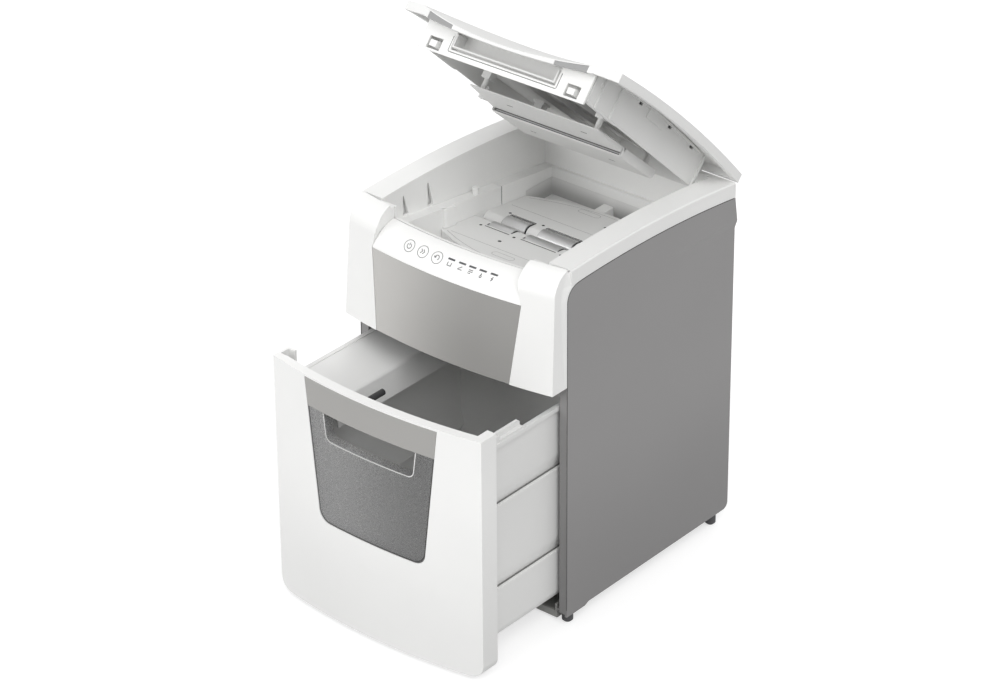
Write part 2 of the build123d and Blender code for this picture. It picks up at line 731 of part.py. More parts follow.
def feed_plate(roller, towards, edge_y, floor_z):
    """One half of the paper bed: a sloped plate with a curved outer edge, a skirt and a rounded lip.

    The lip turns about the roller's axis, towards the throat, and is slotted for the rollers.
    """
    def about_roller(radius, turn):
        across = radius * sin(radians(turn)) * towards
        up = radius * cos(radians(turn))
        return (roller[0] + up * off_bed[0] + across * along_bed[0],
                roller[1] + up * off_bed[1] + across * along_bed[1])

    far_y = edge_y - towards * 4
    inner_radius = lip_radius - skin
    outer = ThreePointArc(about_roller(lip_radius, 0), about_roller(lip_radius, 55),
                          about_roller(lip_radius, 110))
    inner = ThreePointArc(about_roller(inner_radius, 110), about_roller(inner_radius, 55),
                          about_roller(inner_radius, 0))
    far_top = (far_y, bed_z(far_y))
    far_low = (far_y, bed_z(far_y) - skin)
    section = make_face(Line(far_top, outer @ 0) + outer + Line(outer @ 1, inner @ 0) + inner
                        + Line(inner @ 1, far_low) + Line(far_low, far_top))
    plate_x = well_x - seam
    plate = along_x(section, -plate_x, plate_x)
    side_y = edge_y + towards * 30
    edge = ThreePointArc((-plate_x, side_y), (0, edge_y), (plate_x, side_y))
    keep = along_z(make_face(edge + Polyline(edge @ 1, (plate_x, throat_y + towards * 20),
                                             (-plate_x, throat_y + towards * 20), edge @ 0)),
                   deck_top, clear_top)
    plate &= keep
    inner_edge = ThreePointArc((-plate_x, side_y + towards * skin), (0, edge_y + towards * skin),
                               (plate_x, side_y + towards * skin))
    band = make_face(edge + Line(edge @ 1, inner_edge @ 1) + inner_edge + Line(inner_edge @ 0, edge @ 0))
    under = along_x(outline([(front_y, deck_top), (rear_y, deck_top), (rear_y, bed_z(rear_y) - 1),
                             (front_y, bed_z(front_y) - 1)]), -half_width, half_width)
    plate += along_z(band, floor_z, clear_top) & under
    for x0, x1 in roller_spans:
        plate -= rod(*roller, roller_radius + roller_slot_gap, x0 - roller_slot_gap, x1 + roller_slot_gap)
    hole_y = roller[0] - towards * 14.0
    gap_x = (roller_middle_half + roller_end - roller_side_length) / 2
    for x in (-roller_end - 6.0, -gap_x, gap_x, roller_end + 6.0):
        plate -= Pos(x, hole_y, bed_z(hole_y)) * Cylinder(2.0, 12.0)
    return plate


# Cutting block and drive


def beside(centre, distance, angle):
    """A gear centre at a distance and an angle from another, seen from the right."""
    return (centre[0] + distance * cos(radians(angle)), centre[1] + distance * sin(radians(angle)))


idler_angle = degrees(atan2(rear_roller[1] - rear_cutter[1], rear_roller[0] - rear_cutter[0]))
idler = beside(rear_cutter, gear_module * (cutter_teeth + idler_teeth) / 2, idler_angle)
reduction = beside(rear_cutter, gear_module * (cutter_teeth + reduction_small_teeth) / 2, 24.0)
motor_axis = beside(reduction, gear_module * (reduction_big_teeth + pinion_teeth) / 2, -12.0)


def meshing_phase(teeth, phase, mate_teeth, centre, mate_centre):
    """Turn of a gear, in radians, that puts its gap against a tooth of the gear that drives it."""
    heading = atan2(mate_centre[1] - centre[1], mate_centre[0] - centre[0])
    ahead = ((phase - heading) % (2 * pi / teeth)) * teeth / mate_teeth
    return heading + pi - ahead + pi / mate_teeth


def gear(centre, teeth, phase, bore, x0, width):
    """Spur gear with straight-flanked teeth and plenty of backlash."""
    pitch_radius = gear_module * teeth / 2
    tip = pitch_radius + 0.7 * gear_module
    root = pitch_radius - 1.1 * gear_module
    step = 2 * pi / teeth
    points = []
    for i in range(teeth):
        for radius, share in ((root, -0.25), (tip, -0.1), (tip, 0.1), (root, 0.25)):
            angle = phase + step * (i + share)
            points.append((centre[0] + radius * cos(angle), centre[1] + radius * sin(angle)))
    wheel = along_x(outline(points), x0, x0 + width)
    return wheel - rod(*centre, bore, x0 - 1, x0 + width + 1)


phase_rear_cutter = 0.0
phase_front_cutter = meshing_phase(cutter_teeth, phase_rear_cutter, cutter_teeth, rear_cutter, front_cutter)
phase_idler = meshing_phase(cutter_teeth, phase_rear_cutter, idler_teeth, rear_cutter, idler)
phase_rear_roller = meshing_phase(idler_teeth, phase_idler, roller_teeth, idler, rear_roller)
phase_front_roller = meshing_phase(roller_teeth, phase_rear_roller, roller_teeth, rear_roller, front_roller)
phase_reduction = meshing_phase(cutter_teeth, phase_rear_cutter, reduction_small_teeth, rear_cutter,
                                reduction)
phase_pinion = meshing_phase(reduction_big_teeth, phase_reduction, pinion_teeth, reduction, motor_axis)


def cutter(centre, first_disc):
    """Cutter shaft: hooked discs on an eight-sided core, staggered turn by turn, on one turned shaft."""
    core_end = disc_pitch * disc_count / 2
    core_points = [(centre[0] + cutter_core_radius * cos(pi * k / 4),
                    centre[1] + cutter_core_radius * sin(pi * k / 4))
                   for k in range(8)]
    core = along_x(outline(core_points), -core_end, core_end)
    discs = []
    for i in range(disc_count):
        turn = 15.0 * i
        points = []
        for hook in range(4):
            for drop, lead in ((0.0, 0.0), (2.4, 7.0), (1.6, 48.0)):
                angle = radians(turn + 90.0 * hook + lead)
                radius = cutter_tip_radius - drop
                points.append((centre[0] + radius * cos(angle), centre[1] + radius * sin(angle)))
        x = -core_end + first_disc + disc_pitch * i
        discs.append(along_x(outline(points), x, x + disc_thickness))
    return core + discs + rod(*centre, cutter_shaft_radius, -frame_outer - 1, shaft_end)


def comb(centre, towards, first_disc):
    """Stripper comb: a bar on its tie rod, with a finger between each pair of discs."""
    bar_near = centre[0] + towards * (cutter_tip_radius + 2.0)
    bar_far = bar_near + towards * 9.0
    tip = centre[0] + towards * (cutter_core_radius + 1.0)
    z0, z1 = centre[1] - 8.0, centre[1] + 8.0
    span = frame_x - 2.0
    bar = block(-span, span, min(bar_near, bar_far), max(bar_near, bar_far), z0, z1)
    gap = disc_pitch - disc_thickness
    core_end = disc_pitch * disc_count / 2
    fingers = []
    for i in range(disc_count - 1):
        x = -core_end + first_disc + disc_pitch * i + disc_thickness
        fingers.append(block(x + 0.6, x + gap - 0.6, min(tip, bar_near), max(tip, bar_near), z0 + 4, z1 - 4))
    bore = rod(*comb_rod(centre, towards), rod_radius + running_clearance, -span - 1, span + 1)
    return bar + fingers - bore


def comb_rod(centre, towards):
    """Axis of the tie rod that carries a comb."""
    return (centre[0] + towards * (cutter_tip_radius + 6.5), centre[1])


rod_axes = (comb_rod(front_cutter, -1), comb_rod(rear_cutter, 1),
            (front_cutter[0] - 26.0, cutter_z + 25.0), (rear_cutter[0] + 24.0, cutter_z + 25.0))


def cutter_frame(x0, holds_motor):
    """Steel side frame of the cutting block, bored for bushes, rods and the drive."""
    low_front, low_rear = cutter_front_y - 40.0, cutter_rear_y + 40.0
    if holds_motor:
        low_rear = motor_axis[0] + motor_radius + 6.0
    top = rear_roller[1] + 13.0
    side = outline([(low_front, deck_top), (low_rear, deck_top), (low_rear, cutter_z + 28.0),
                    (cutter_rear_y + 26.0, top), (cutter_front_y - 16.0, top), (low_front, cutter_z + 40.0)])
    plate = along_x(side, x0, x0 + frame_thickness)
    for axis in (front_cutter, rear_cutter):
        plate -= rod(*axis, bush_radius + 0.02, x0 - 1, x0 + frame_thickness + 1)
    for axis in (front_roller, rear_roller):
        plate -= rod(*axis, roller_bush_radius + 0.02, x0 - 1, x0 + frame_thickness + 1)
    for axis in rod_axes:
        plate -= rod(*axis, rod_radius + 0.02, x0 - 1, x0 + frame_thickness + 1)
    if holds_motor:
        plate -= rod(*motor_axis, motor_shaft_radius + 3.0, x0 - 1, x0 + frame_thickness + 1)
        for axis, radius in ((idler, idler_pin_radius), (reduction, reduction_pin_radius)):
            plate -= rod(*axis, radius + 0.02, x0 - 1, x0 + frame_thickness + 1)
    foot = (x0 - 9.0, x0) if x0 > 0 else (x0 + frame_thickness, x0 + frame_thickness + 9.0)
    return plate + block(*foot, low_front, cutter_front_y - 24.0, deck_top, deck_top + 2.0)


def tie_rods():
    return [rod(*axis, rod_radius, -frame_outer - 2, frame_outer + 2) for axis in rod_axes]


def bushes(axes, outer, bore):
    """Plain sintered bushes in both side frames."""
    rings = []
    for axis in axes:
        ring = rod(*axis, outer, frame_x - 1.5, frame_outer + 1.0)
        ring -= rod(*axis, bore + running_clearance, frame_x - 5, frame_outer + 5)
        rings += [ring, mirror(ring, about=Plane.YZ)]
    return rings


def gear_pins():
    """Fixed pins, riveted into the right frame, that carry the idler and the reduction gear."""
    return [rod(*idler, idler_pin_radius, frame_x - 1, gear_x + gear_width + 1.5),
            rod(*reduction, reduction_pin_radius, frame_x - 1, second_gear_x + second_gear_width + 1.5)]


def reduction_gear():
    small = gear(reduction, reduction_small_teeth, phase_reduction, reduction_pin_radius + running_clearance,
                 gear_x, second_gear_x - gear_x)
    big = gear(reduction, reduction_big_teeth, phase_reduction, reduction_pin_radius + running_clearance,
               second_gear_x, second_gear_width)
    return small + big


def motor():
    """Motor can with end bells and a foot on the deck, spigoted to the right frame."""
    x1 = frame_x
    x0 = x1 - motor_length
    can = rod(*motor_axis, motor_radius, x0 + 8, x1 - 8)
    bells = rod(*motor_axis, motor_radius - 4, x0, x0 + 8) + rod(*motor_axis, motor_radius - 4, x1 - 8, x1)
    foot = block(x0 + 20, x1 - 20, motor_axis[0] - 14, motor_axis[0] + 14, deck_top, motor_axis[1] - 8)
    bore = rod(*motor_axis, motor_shaft_radius + running_clearance, x1 - 30, x1 + 1)
    return can + bells + foot - bore


def motor_pinion():
    shaft = rod(*motor_axis, motor_shaft_radius, frame_x - 28, second_gear_x + second_gear_width + 1)
    teeth = gear(motor_axis, pinion_teeth, phase_pinion, motor_shaft_radius - 1.0, second_gear_x,
                 second_gear_width)
    return shaft + teeth


def power_board():
    """Circuit board on four pillars behind the cutters, with its transformer, choke and capacitors."""
    z = deck_top + 7.0
    x0, x1 = 12.0 - frame_x, frame_x - motor_length - 17.0
    y0, y1 = rear_y - 88.0, rear_y - 18.0
    board = block(x0, x1, y0, y1, z, z + 1.6)
    for x in (x0 + 5.0, x1 - 5.0):
        for y in (y0 + 5.0, y1 - 5.0):
            board += Pos(x, y, (deck_top + z) / 2) * Cylinder(3.0, z - deck_top)
    board += block(x0 + 45.0, x0 + 77.0, y0 + 8.0, y0 + 36.0, z + 1.6, z + 26.0)
    board += block(x1 - 30.0, x1 - 14.0, y0 + 12.0, y0 + 48.0, z + 1.6, z + 15.0)
    for x in (x0 + 13.0, x0 + 27.0):
        board += Pos(x, y0 + 18.0, z + 12.0) * Cylinder(5.5, 20.8)
    return board


# Drawer, modelled closed


def pull(shape):
    return Pos(0, -drawer_pull, 0) * shape


def drawer_front():
    """White bowed front with returned sides, a deep top lip and the tapered opening for band and window."""
    rear = front_y - 0.8
    rounded = RectangleRounded(cabinet_width, drawer_top - drawer_bottom, drawer_corner_radius)
    face = along_y(rounded, clear_front, rear)
    face = Pos(0, 0, (drawer_top + drawer_bottom) / 2) * face
    face += block(-half_width, half_width, clear_front, rear, (drawer_top + drawer_bottom) / 2, drawer_top)
    body = face & Pos(0, bow_centre_y, 0) * Cylinder(bow_radius, 2 * clear_top)
    inner = Pos(0, bow_centre_y, 0) * Cylinder(bow_radius - drawer_skin, 2 * clear_top)
    inner &= block(-half_width + drawer_skin, half_width - drawer_skin, clear_front, rear - drawer_skin,
                   drawer_bottom + skin, drawer_top - skin)
    inner_round = drawer_corner_radius - drawer_skin
    inner = fillet(inner.edges().filter_by(Axis.Y).sort_by(Axis.Z)[:2], inner_round)
    behind_lip = Pos(0, bow_centre_y, 0) * Cylinder(bow_radius - drawer_lip, 2 * clear_top)
    clear_x = half_width - drawer_return
    behind_lip &= block(-clear_x, clear_x, clear_front, rear + 5, drawer_bottom + skin + 12, drawer_top + 5)
    body = body - inner - behind_lip
    notch = block(-half_width + drawer_skin, -clear_x + 1, rear - drawer_skin - 14.0, rear - drawer_skin,
                  drawer_top - 10, drawer_top + 5)
    body -= notch
    return pull(body - centre_prism(window_bottom, drawer_top - skin, 0, clear_front, rear - 10, corner=16.0))


def handle_band():
    """Grey grip band across the top of the opening, with a turned-in lower edge."""
    top = drawer_top - skin - seam
    plate = bow_shell(0.0, drawer_skin + 0.3, band_bottom, top) & centre_prism(
        band_bottom - 10, top + 10, seam, clear_front, front_y)
    flange = bow_shell(drawer_skin + 0.3, drawer_skin + 2.3, band_bottom, top) & centre_prism(
        band_bottom - 10, top + 10, -6.0, clear_front, front_y)
    grip = bow_shell(0.0, 13.0, band_bottom, band_bottom + skin) & centre_prism(
        band_bottom - 10, top + 10, 24.0, clear_front, front_y)
    return pull(plate + flange + grip)


def drawer_window():
    """Smoky window under the band, with the finger opening and its moulded rim."""
    top = band_bottom - seam
    plate = bow_shell(0.8, drawer_skin + 0.3, window_bottom + seam, top)
    plate &= centre_prism(window_bottom + seam, top, seam, clear_front, front_y, corner=15.6)
    flange = bow_shell(drawer_skin + 0.3, drawer_skin + 2.3, window_bottom - 6.0, top)
    flange &= centre_prism(window_bottom - 6.0, top, -6.0, clear_front, front_y, corner=20.0)
    x = centre_half_width - finger_margin
    hole = [(-x, finger_bottom), (x, finger_bottom), (x + 5.0, top + 5), (-x - 5.0, top + 5)]
    rim = [(-x - 2.0, finger_bottom - 2), (x + 2.0, finger_bottom - 2), (x + 7.0, top), (-x - 7.0, top)]
    collar = bow_shell(drawer_skin + 0.3, 14.0, finger_bottom - 5, top)
    collar &= rounded_low(along_y(outline(rim), clear_front, front_y), 9.0)
    return pull(plate + flange + collar - rounded_low(along_y(outline(hole), clear_front, front_y), 7.0))


def rounded_low(prism, radius):
    """Round the two lower corners of a prism that runs along Y."""
    return fillet(prism.edges().filter_by(Axis.Y).sort_by(Axis.Z)[:2], radius)


def bin_section(inset):
    """Half outline of the bin's side walls, with its two stepped grooves, drawn in by inset."""
    x = bin_half_width - inset
    points = [(x, bin_top + (6 if inset else 0))]
    for ledge in groove_ledges:
        points += [(x, ledge + groove_height - inset), (x - groove_depth, ledge - inset), (x, ledge - inset)]
    corner = 14.0
    points += [(x, bin_bottom + corner), (x - 4.0, bin_bottom + inset + 4.0),
               (x - corner, bin_bottom + inset)]
    return points + [(-px, z) for px, z in reversed(points)]


def waste_bin():
    """Deep bin with grooved sides, a turned-out rim, front hangers and a guide bar on the right."""
    body = along_y(outline(bin_section(0.0)), bin_front_y, bin_rear_y)
    body -= along_y(outline(bin_section(bin_wall)), bin_front_y + bin_wall, bin_rear_y - bin_wall)
    rim_low = bin_top - 6.0
    rim_x = bin_half_width + bin_rim
    rim = block(-rim_x, rim_x, bin_front_y + 20.0, bin_rear_y + bin_rim, rim_low, bin_top)
    rim -= block(-bin_half_width + bin_wall, bin_half_width - bin_wall, bin_front_y - 9,
                 bin_rear_y - bin_wall, rim_low - 9, bin_top + 9)
    body += rim
    body -= centre_prism(window_bottom - 10.0, band_bottom + 4.0, 8.0, bin_front_y - 9, bin_front_y + 9,
                         corner=14.0)
    hanger_rear = bin_front_y + 1
    for x in (hanger_inset - bin_half_width, bin_half_width - hanger_inset):
        front = bow_centre_y - sqrt((bow_radius - drawer_skin - seam) ** 2 - (abs(x) + 3.0) ** 2)
        body += block(x - 3.0, x + 3.0, front, hanger_rear, hanger_bottom, drawer_top - hanger_drop)
    bar = block(bin_half_width - 4.0, bin_half_width + 2.6, bin_front_y - 10.0, bin_front_y + 39.0,
                bin_top - 6, bin_top + 10.0)
    body += fillet(bar.edges().filter_by(Axis.X).sort_by(lambda e: -e.center().Y - e.center().Z)[:1], 4.0)
    body += block(-bin_half_width + 4, -bin_half_width + 26, bin_front_y, bin_front_y + 10,
                  bin_top - 4, bin_top)
    return pull(body)


def drawer_pins():
    """Two round-headed pins on the left front corner of the bin, which meet the drawer switch."""
    pins = []
    for x in (-bin_half_width + 10, -bin_half_width + 20):
        pin = Pos(x, bin_front_y + 5.0, bin_top + 6.0) * Cylinder(3.2, 12.0)
        pins.append(pull(chamfer(pin.edges().group_by(Axis.Z)[-1], 1.2)))
    return pins


def switch_pin():
    """Round pin behind the top lip of the drawer, which passes under the front panel to its switch."""
    start = bow_front_y + (switch_pin_x ** 2) / (2 * bow_radius) + drawer_skin + 2.9
    pin = Pos(switch_pin_x, start + switch_pin_length / 2, switch_pin_z) * Rot(90, 0, 0) * Cylinder(
        switch_pin_radius, switch_pin_length)
    return pull(chamfer(pin.edges().group_by(Axis.Y)[-1], 1.0))


# Lid, modelled closed

hinge_axis = Axis((0, hinge_y, hinge_z), (1, 0, 0))


def raise_lid(shape):
    return shape.rotate(hinge_axis, -lid_open_angle)


def lid_front(inset):
    """The bowed front limit of the lid, just behind the shoulders."""
    return Pos(0, bow_centre_y, crown_height) * Cylinder(bow_radius - lid_front_inset - inset, crown_height)


def lid_frame_z(y):
    return lid_frame_bottom - lid_frame_slope * y


def scoop(drop):
    """What lies above the scooped nose of the lid: a wide hollow that rises to the rear, lowered by drop."""
    turn = radians(nose_rise)
    axis = Pos(0, nose_y - nose_radius * sin(turn), nose_z - drop + nose_radius * cos(turn))
    return axis * Rot(nose_rise - 90.0, 0, 0) * Cylinder(nose_radius, panel_depth)


def above_lip():
    """What lies above the curved lower edge of the lid's lip."""
    lip = Rot(90, 0, 0) * Cylinder(nose_lip_radius, panel_depth)
    return Pos(0, nose_y, nose_lip_z + nose_lip_radius) * lip


def lid_cover():
    """White arched cover: thin top, deep edges, a scooped nose over the handle and a solid hinge rail."""
    body = along_x(crown_face(lid_tip_y, lid_rear_y, lid_low, lid_high), -half_width, half_width)
    nose = along_x(crown_face(lid_tip_y, front_y + 65.0, lid_low - 14, lid_high), -nose_half_width,
                   nose_half_width)
    body = (body + (nose & above_lip())) & lid_front(0)
    inside = along_x(crown_face(lid_tip_y + 5, rear_y, lid_low - 25, lid_under), -half_width + 7,
                     half_width - 7)
    body -= (inside & lid_front(7)) - scoop(nose_skin)
    body -= scoop(0)
    for side in (-1, 1):
        x0, x1 = sorted((side * seal_span[0], side * seal_span[1]))
        seat = block(x0, x1, lid_tip_y, front_y + 22.0, cup_bottom, clear_top)
        body -= seat - lid_front(seal_depth) - scoop(1.2)
        e0, e1 = sorted((side * (hinge_ear_x[0] - 0.6), side * (hinge_ear_x[1] + 0.6)))
        body -= block(e0, e1, rear_y - 7, lid_rear_y + 2, hinge_z - 16.0, hinge_z + hinge_barrel_radius + 0.5)
        p0, p1 = sorted((side * hinge_pin_span[0], side * hinge_pin_span[1]))
        body -= rod(hinge_y, hinge_z, hinge_pin_radius + 0.06, p0 - 0.5, p1 + 0.5)
    return raise_lid(body)


def seal_strips():
    """Soft dark strips in the recesses of the lid's front edge."""
    strips = []
    for side in (-1, 1):
        x0, x1 = sorted((side * (seal_span[0] + 0.3), side * (seal_span[1] - 0.3)))
        strip = block(x0, x1, lid_tip_y, front_y + 22.0, cup_bottom, clear_top) & lid_front(0.8) & above_lip()
        strips.append(raise_lid(strip - lid_front(seal_depth - 0.2) - scoop(1.4)))
    return strips


def hinge_pins():
    return [rod(hinge_y, hinge_z, hinge_pin_radius,
                *sorted((side * hinge_pin_span[0], side * hinge_pin_span[1])))
            for side in (-1, 1)]


def lid_frame():
    """Box frame inside the lid: ribbed side walls, rear wall, web for the plate guides, switch finger."""
    x1 = lid_frame_half_width
    x0 = x1 - skin
    front, back = fascia_y + skin + seam, bay_rear_y - 12.0
    tall = crown_face(front, back, -60, lid_under - 0.3)
    below = along_x(outline([(front, lid_frame_z(front)), (back, lid_frame_z(back)), (back, clear_top),
                             (front, clear_top)]), -half_width, half_width)
    walls = along_x(tall, x0, x1)
    for y in (front + 2.0, front + 22.0, front + 58.0, back - 8.0):
        walls += along_x(crown_face(y, y + 3.0, -60, lid_under - 0.3), x1 - 1, x1 + 2.0)
    notch_low = crown_z(0, lid_under) - 14.0
    walls += along_x(crown_face(-16.0, 24.0, notch_low - crown_height, lid_under - 0.3), x1 - 1, x1 + 1.6)
    for y in (-40.0, 36.0, 96.0):
        walls -= block(x0 - 1, x1 + 4, y, y + 8.0, crown_z(y, lid_under) - 7.0, crown_z(y, lid_under) - 3.5)
    body = both_sides(walls)
    body += along_x(crown_face(back - skin, back, -60, lid_under - 0.3), -x1, x1)
    body = (body & below) - scoop(nose_skin + 0.3)
    body += block(-x0 - 1, x0 + 1, handle_pivot_y + 12.0, back - 1, web_bottom, web_bottom + skin)
    for x in (-40.0, 0.0, 40.0):
        body += along_x(outline([(handle_pivot_y + 14, web_bottom - 6), (back - 2, web_bottom - 6),
                                 (back - 2, web_bottom + 1), (handle_pivot_y + 14, web_bottom + 1)]),
                        x, x + skin)
    for x, y in guide_places:
        reach = guide_half + 0.05
        body -= block(x - reach, x + reach, y - reach, y + reach, web_bottom - 10, web_bottom + 10)
    body -= rod(handle_pivot_y, handle_pivot_z, latch_rod_radius + running_clearance, -x1 - 5, x1 + 5)
    body += block(-x1, plunger_x + 5.0, plunger_y - 4, plunger_y + 4, plunger_top + 0.4, lid_frame_z(0) + 6)
    return raise_lid(body)


def plate_guides():
    """Square sleeves in the web of the lid frame, in which the posts of the pressure plate slide."""
    sleeves = []
    for x, y in guide_places:
        sleeve = Pos(x, y, web_bottom - 6.0) * Box(2 * guide_half, 2 * guide_half, 18.0)
        sleeve += Pos(x, y, web_bottom - 1.5) * Box(2 * guide_half + 4.0, 2 * guide_half + 4.0, 3.0)
        sleeves.append(raise_lid(sleeve - Pos(x, y, web_bottom) * Cylinder(post_radius + 0.08, 60.0)))
    return sleeves


def lid_fascia():
    """White front wall of the lid, with two square latch windows and the opening of the handle."""
    x1 = lid_frame_half_width + 2.0
    low = lid_frame_z(fascia_y) - fascia_drop
    plate = along_x(crown_face(fascia_y, fascia_y + skin, low - crown_height, lid_under - 0.3), -x1, x1)
    for side in (-1, 1):
        plate -= block(side * latch_x - latch_window_half, side * latch_x + latch_window_half,
                       fascia_y - 9, fascia_y + 9, *(cup_bottom + z for z in latch_window_z))
    plate -= block(-cup_half_width - 1.5, cup_half_width + 1.5, fascia_y - 9, fascia_y + 9,
                   cup_bottom - cup_swing, clear_top)
    return raise_lid(plate - scoop(nose_skin + 0.3))


def lid_handle():
    """Finger cup in the fascia, hung from the latch rod by two arms."""
    front, back = fascia_y - 2.0, handle_pivot_y - latch_rod_radius - 1.0
    wall = 2.0
    corner = 6.0
    back_top = handle_pivot_z + 2.0
    low = cup_bottom
    outer = ThreePointArc((back - corner, low), (back - 1.8, low + 1.8), (back, low + corner))
    inner = ThreePointArc((back - wall, low + corner), (back - 3.2, low + 3.2), (back - corner, low + wall))
    section = [outer, Polyline(outer @ 1, (back, back_top), (back - wall, back_top), inner @ 0), inner,
               Polyline(inner @ 1, (front, low + wall), (front, low), outer @ 0)]
    cup = along_x(make_face(Curve() + section), -cup_half_width, cup_half_width)
    end = outline([(front, low), (back, low + 3), (back, cup_top + 2), (front, cup_top)])
    cup += both_sides(along_x(end, cup_half_width - wall, cup_half_width))
    arm = outline([(back - 1.0, handle_pivot_z - 8.0), (handle_pivot_y + 3.0, handle_pivot_z - 5.0),
                   (handle_pivot_y + 5.0, handle_pivot_z), (handle_pivot_y + 2.0, handle_pivot_z + 4.5),
                   (back - 1.0, back_top)])
    arm_x = cup_half_width - 16.5
    cup += both_sides(along_x(arm, arm_x - 4.0, arm_x + 4.0))
    bore = rod(handle_pivot_y, handle_pivot_z, latch_rod_radius + 0.02, -cup_half_width - 9,
               cup_half_width + 9)
    return raise_lid(cup - bore)


def latch_bar():
    """Rod that turns with the handle and carries the two hooks behind the fascia windows."""
    bar = rod(handle_pivot_y, handle_pivot_z, latch_rod_radius, -lid_frame_half_width + 0.5,
              lid_frame_half_width - 0.5)
    hook_face = fascia_y - 2.5
    hook = outline([(handle_pivot_y - 2, handle_pivot_z), (handle_pivot_y + 2, handle_pivot_z),
                    (handle_pivot_y - 6, cup_bottom - 5.0), (hook_face, cup_bottom - 6.5),
                    (hook_face, cup_bottom + 1.0),
                    (handle_pivot_y - 10, cup_bottom + 3.0)])
    bar += both_sides(along_x(hook, latch_x - 5.0, latch_x + 5.0))
    return raise_lid(bar)


def pressure_plate():
    """Tray-shaped plate that presses the stack on the rollers, slotted and flanged."""
    x1 = plate_half_width
    y0, y1 = plate_front_y, plate_rear_y
    z0, z1 = plate_bottom, plate_bottom + plate_flange
    tray = block(-x1, x1, y0, y1, z0, z1)
    tray = chamfer(tray.edges().filter_by(Axis.X).group_by(Axis.Z)[0], 3.0)
    tray -= block(-x1 + plate_wall, x1 - plate_wall, y0 + plate_wall, y1 - plate_wall, z0 + plate_wall,
                  z1 + 5)
    tray -= block(-x1 + plate_wall, x1 - plate_wall, y0 - 5, y0 + plate_wall + 5, z0 + 6.0, z1 + 5)
    slot_x = x1 - 23.0
    tray -= block(-slot_x, slot_x, y0 + 26.0, y0 + 31.0, z0 - 5, z0 + 9)
    for x in (14.0 - slot_x, slot_x - 14.0):
        for y in (y0 + 12.0, y0 + 50.0):
            tray -= block(x - 4, x + 4, y, y + 2.0, z0 - 5, z0 + 9)
    return raise_lid(tray)


def plate_posts():
    """Posts of the pressure plate, with heads that stop it on the web."""
    posts = []
    low, high = plate_bottom + plate_wall, web_bottom + skin + 0.2
    for x, y in guide_places:
        post = Pos(x, y, (low + high) / 2) * Cylinder(post_radius, high - low)
        post += Pos(x, y, high + 1.0) * Box(2 * post_radius + 3.0, 2 * post_radius + 3.0, 2.0)
        posts.append(raise_lid(post))
    return posts


def feed_rollers(axis):
    """Three soft rollers on one shaft."""
    return [rod(*axis, roller_radius, x0, x1) - rod(*axis, roller_shaft_radius, x0 - 1, x1 + 1)
            for x0, x1 in roller_spans]


def group(shapes):
    return Compound(children=[Part() + shape for shape in shapes])


os.makedirs("parts", exist_ok=True)

right_panel = side_panel()
right_shoulder = shoulder_right()
save("side_panel_right", right_panel)
save("side_panel_left", mirror(right_panel, about=Plane.YZ))
save("shoulder_right", right_shoulder)
save("shoulder_left", mirror(right_shoulder, about=Plane.YZ))
save("rear_panel", rear_panel())
save("base_tray", base_tray())
save("feet", group(feet()))
save("drawer_rails", group(drawer_rails()))
save("mechanism_deck", mechanism_deck())
save("power_inlet", power_inlet())
save("rocker_bezel", rocker_bezel())
save("mains_rocker", mains_rocker())
save("control_strip", control_strip())
save("front_panel", front_panel())
save("control_board", control_board())
save("top_housing", top_housing())
save("switch_rail", switch_rail())
save("lid_plunger", lid_plunger())
save("feed_plate_front", feed_plate(front_roller, 1, bed_edge_front, pocket_floor_front))
save("feed_plate_rear", feed_plate(rear_roller, -1, bed_edge_rear, pocket_floor_rear))
save("cutter_rear", cutter(rear_cutter, 0.15))
save("cutter_front", cutter(front_cutter, 0.15 + disc_pitch / 2))
save("comb_rear", comb(rear_cutter, 1, 0.15))
save("comb_front", comb(front_cutter, -1, 0.15 + disc_pitch / 2))
save("cutter_frame_right", cutter_frame(frame_x, True))
save("cutter_frame_left", cutter_frame(-frame_outer, False))
save("tie_rods", group(tie_rods()))
save("cutter_bushes", group(bushes((front_cutter, rear_cutter), bush_radius, cutter_shaft_radius)))
save("roller_bushes", group(bushes((front_roller, rear_roller), roller_bush_radius, roller_shaft_radius)))
save("gear_pins", group(gear_pins()))
cutter_bore = cutter_shaft_radius + 0.02
roller_bore = roller_shaft_radius + 0.02
save("cutter_gear_rear", gear(rear_cutter, cutter_teeth, phase_rear_cutter, cutter_bore, gear_x, gear_width))
save("cutter_gear_front", gear(front_cutter, cutter_teeth, phase_front_cutter, cutter_bore, gear_x,
                               gear_width))
save("idler_gear", gear(idler, idler_teeth, phase_idler, idler_pin_radius + running_clearance, gear_x,
                        gear_width))
save("roller_gear_rear", gear(rear_roller, roller_teeth, phase_rear_roller, roller_bore, gear_x, gear_width))
save("roller_gear_front", gear(front_roller, roller_teeth, phase_front_roller, roller_bore, gear_x,
                               gear_width))
save("reduction_gear", reduction_gear())
save("motor", motor())
save("motor_pinion", motor_pinion())
save("power_board", power_board())
for place, axis in (("front", front_roller), ("rear", rear_roller)):
    save(f"roller_shaft_{place}", rod(*axis, roller_shaft_radius, -frame_outer - 1, shaft_end))
    save(f"feed_rollers_{place}", group(feed_rollers(axis)))
save("drawer_front", drawer_front())
save("handle_band", handle_band())
save("drawer_window", drawer_window())
save("waste_bin", waste_bin())
save("drawer_pins", group(drawer_pins()))
save("switch_pin", switch_pin())
save("lid_cover", lid_cover())
save("seal_strips", group(seal_strips()))
save("hinge_pins", group(hinge_pins()))
save("lid_frame", lid_frame())
save("plate_guides", group(plate_guides()))
save("lid_fascia", lid_fascia())
save("lid_handle", lid_handle())
save("latch_bar", latch_bar())
save("pressure_plate", pressure_plate())
save("plate_posts", group(plate_posts()))
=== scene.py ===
from math import cos, radians, sin

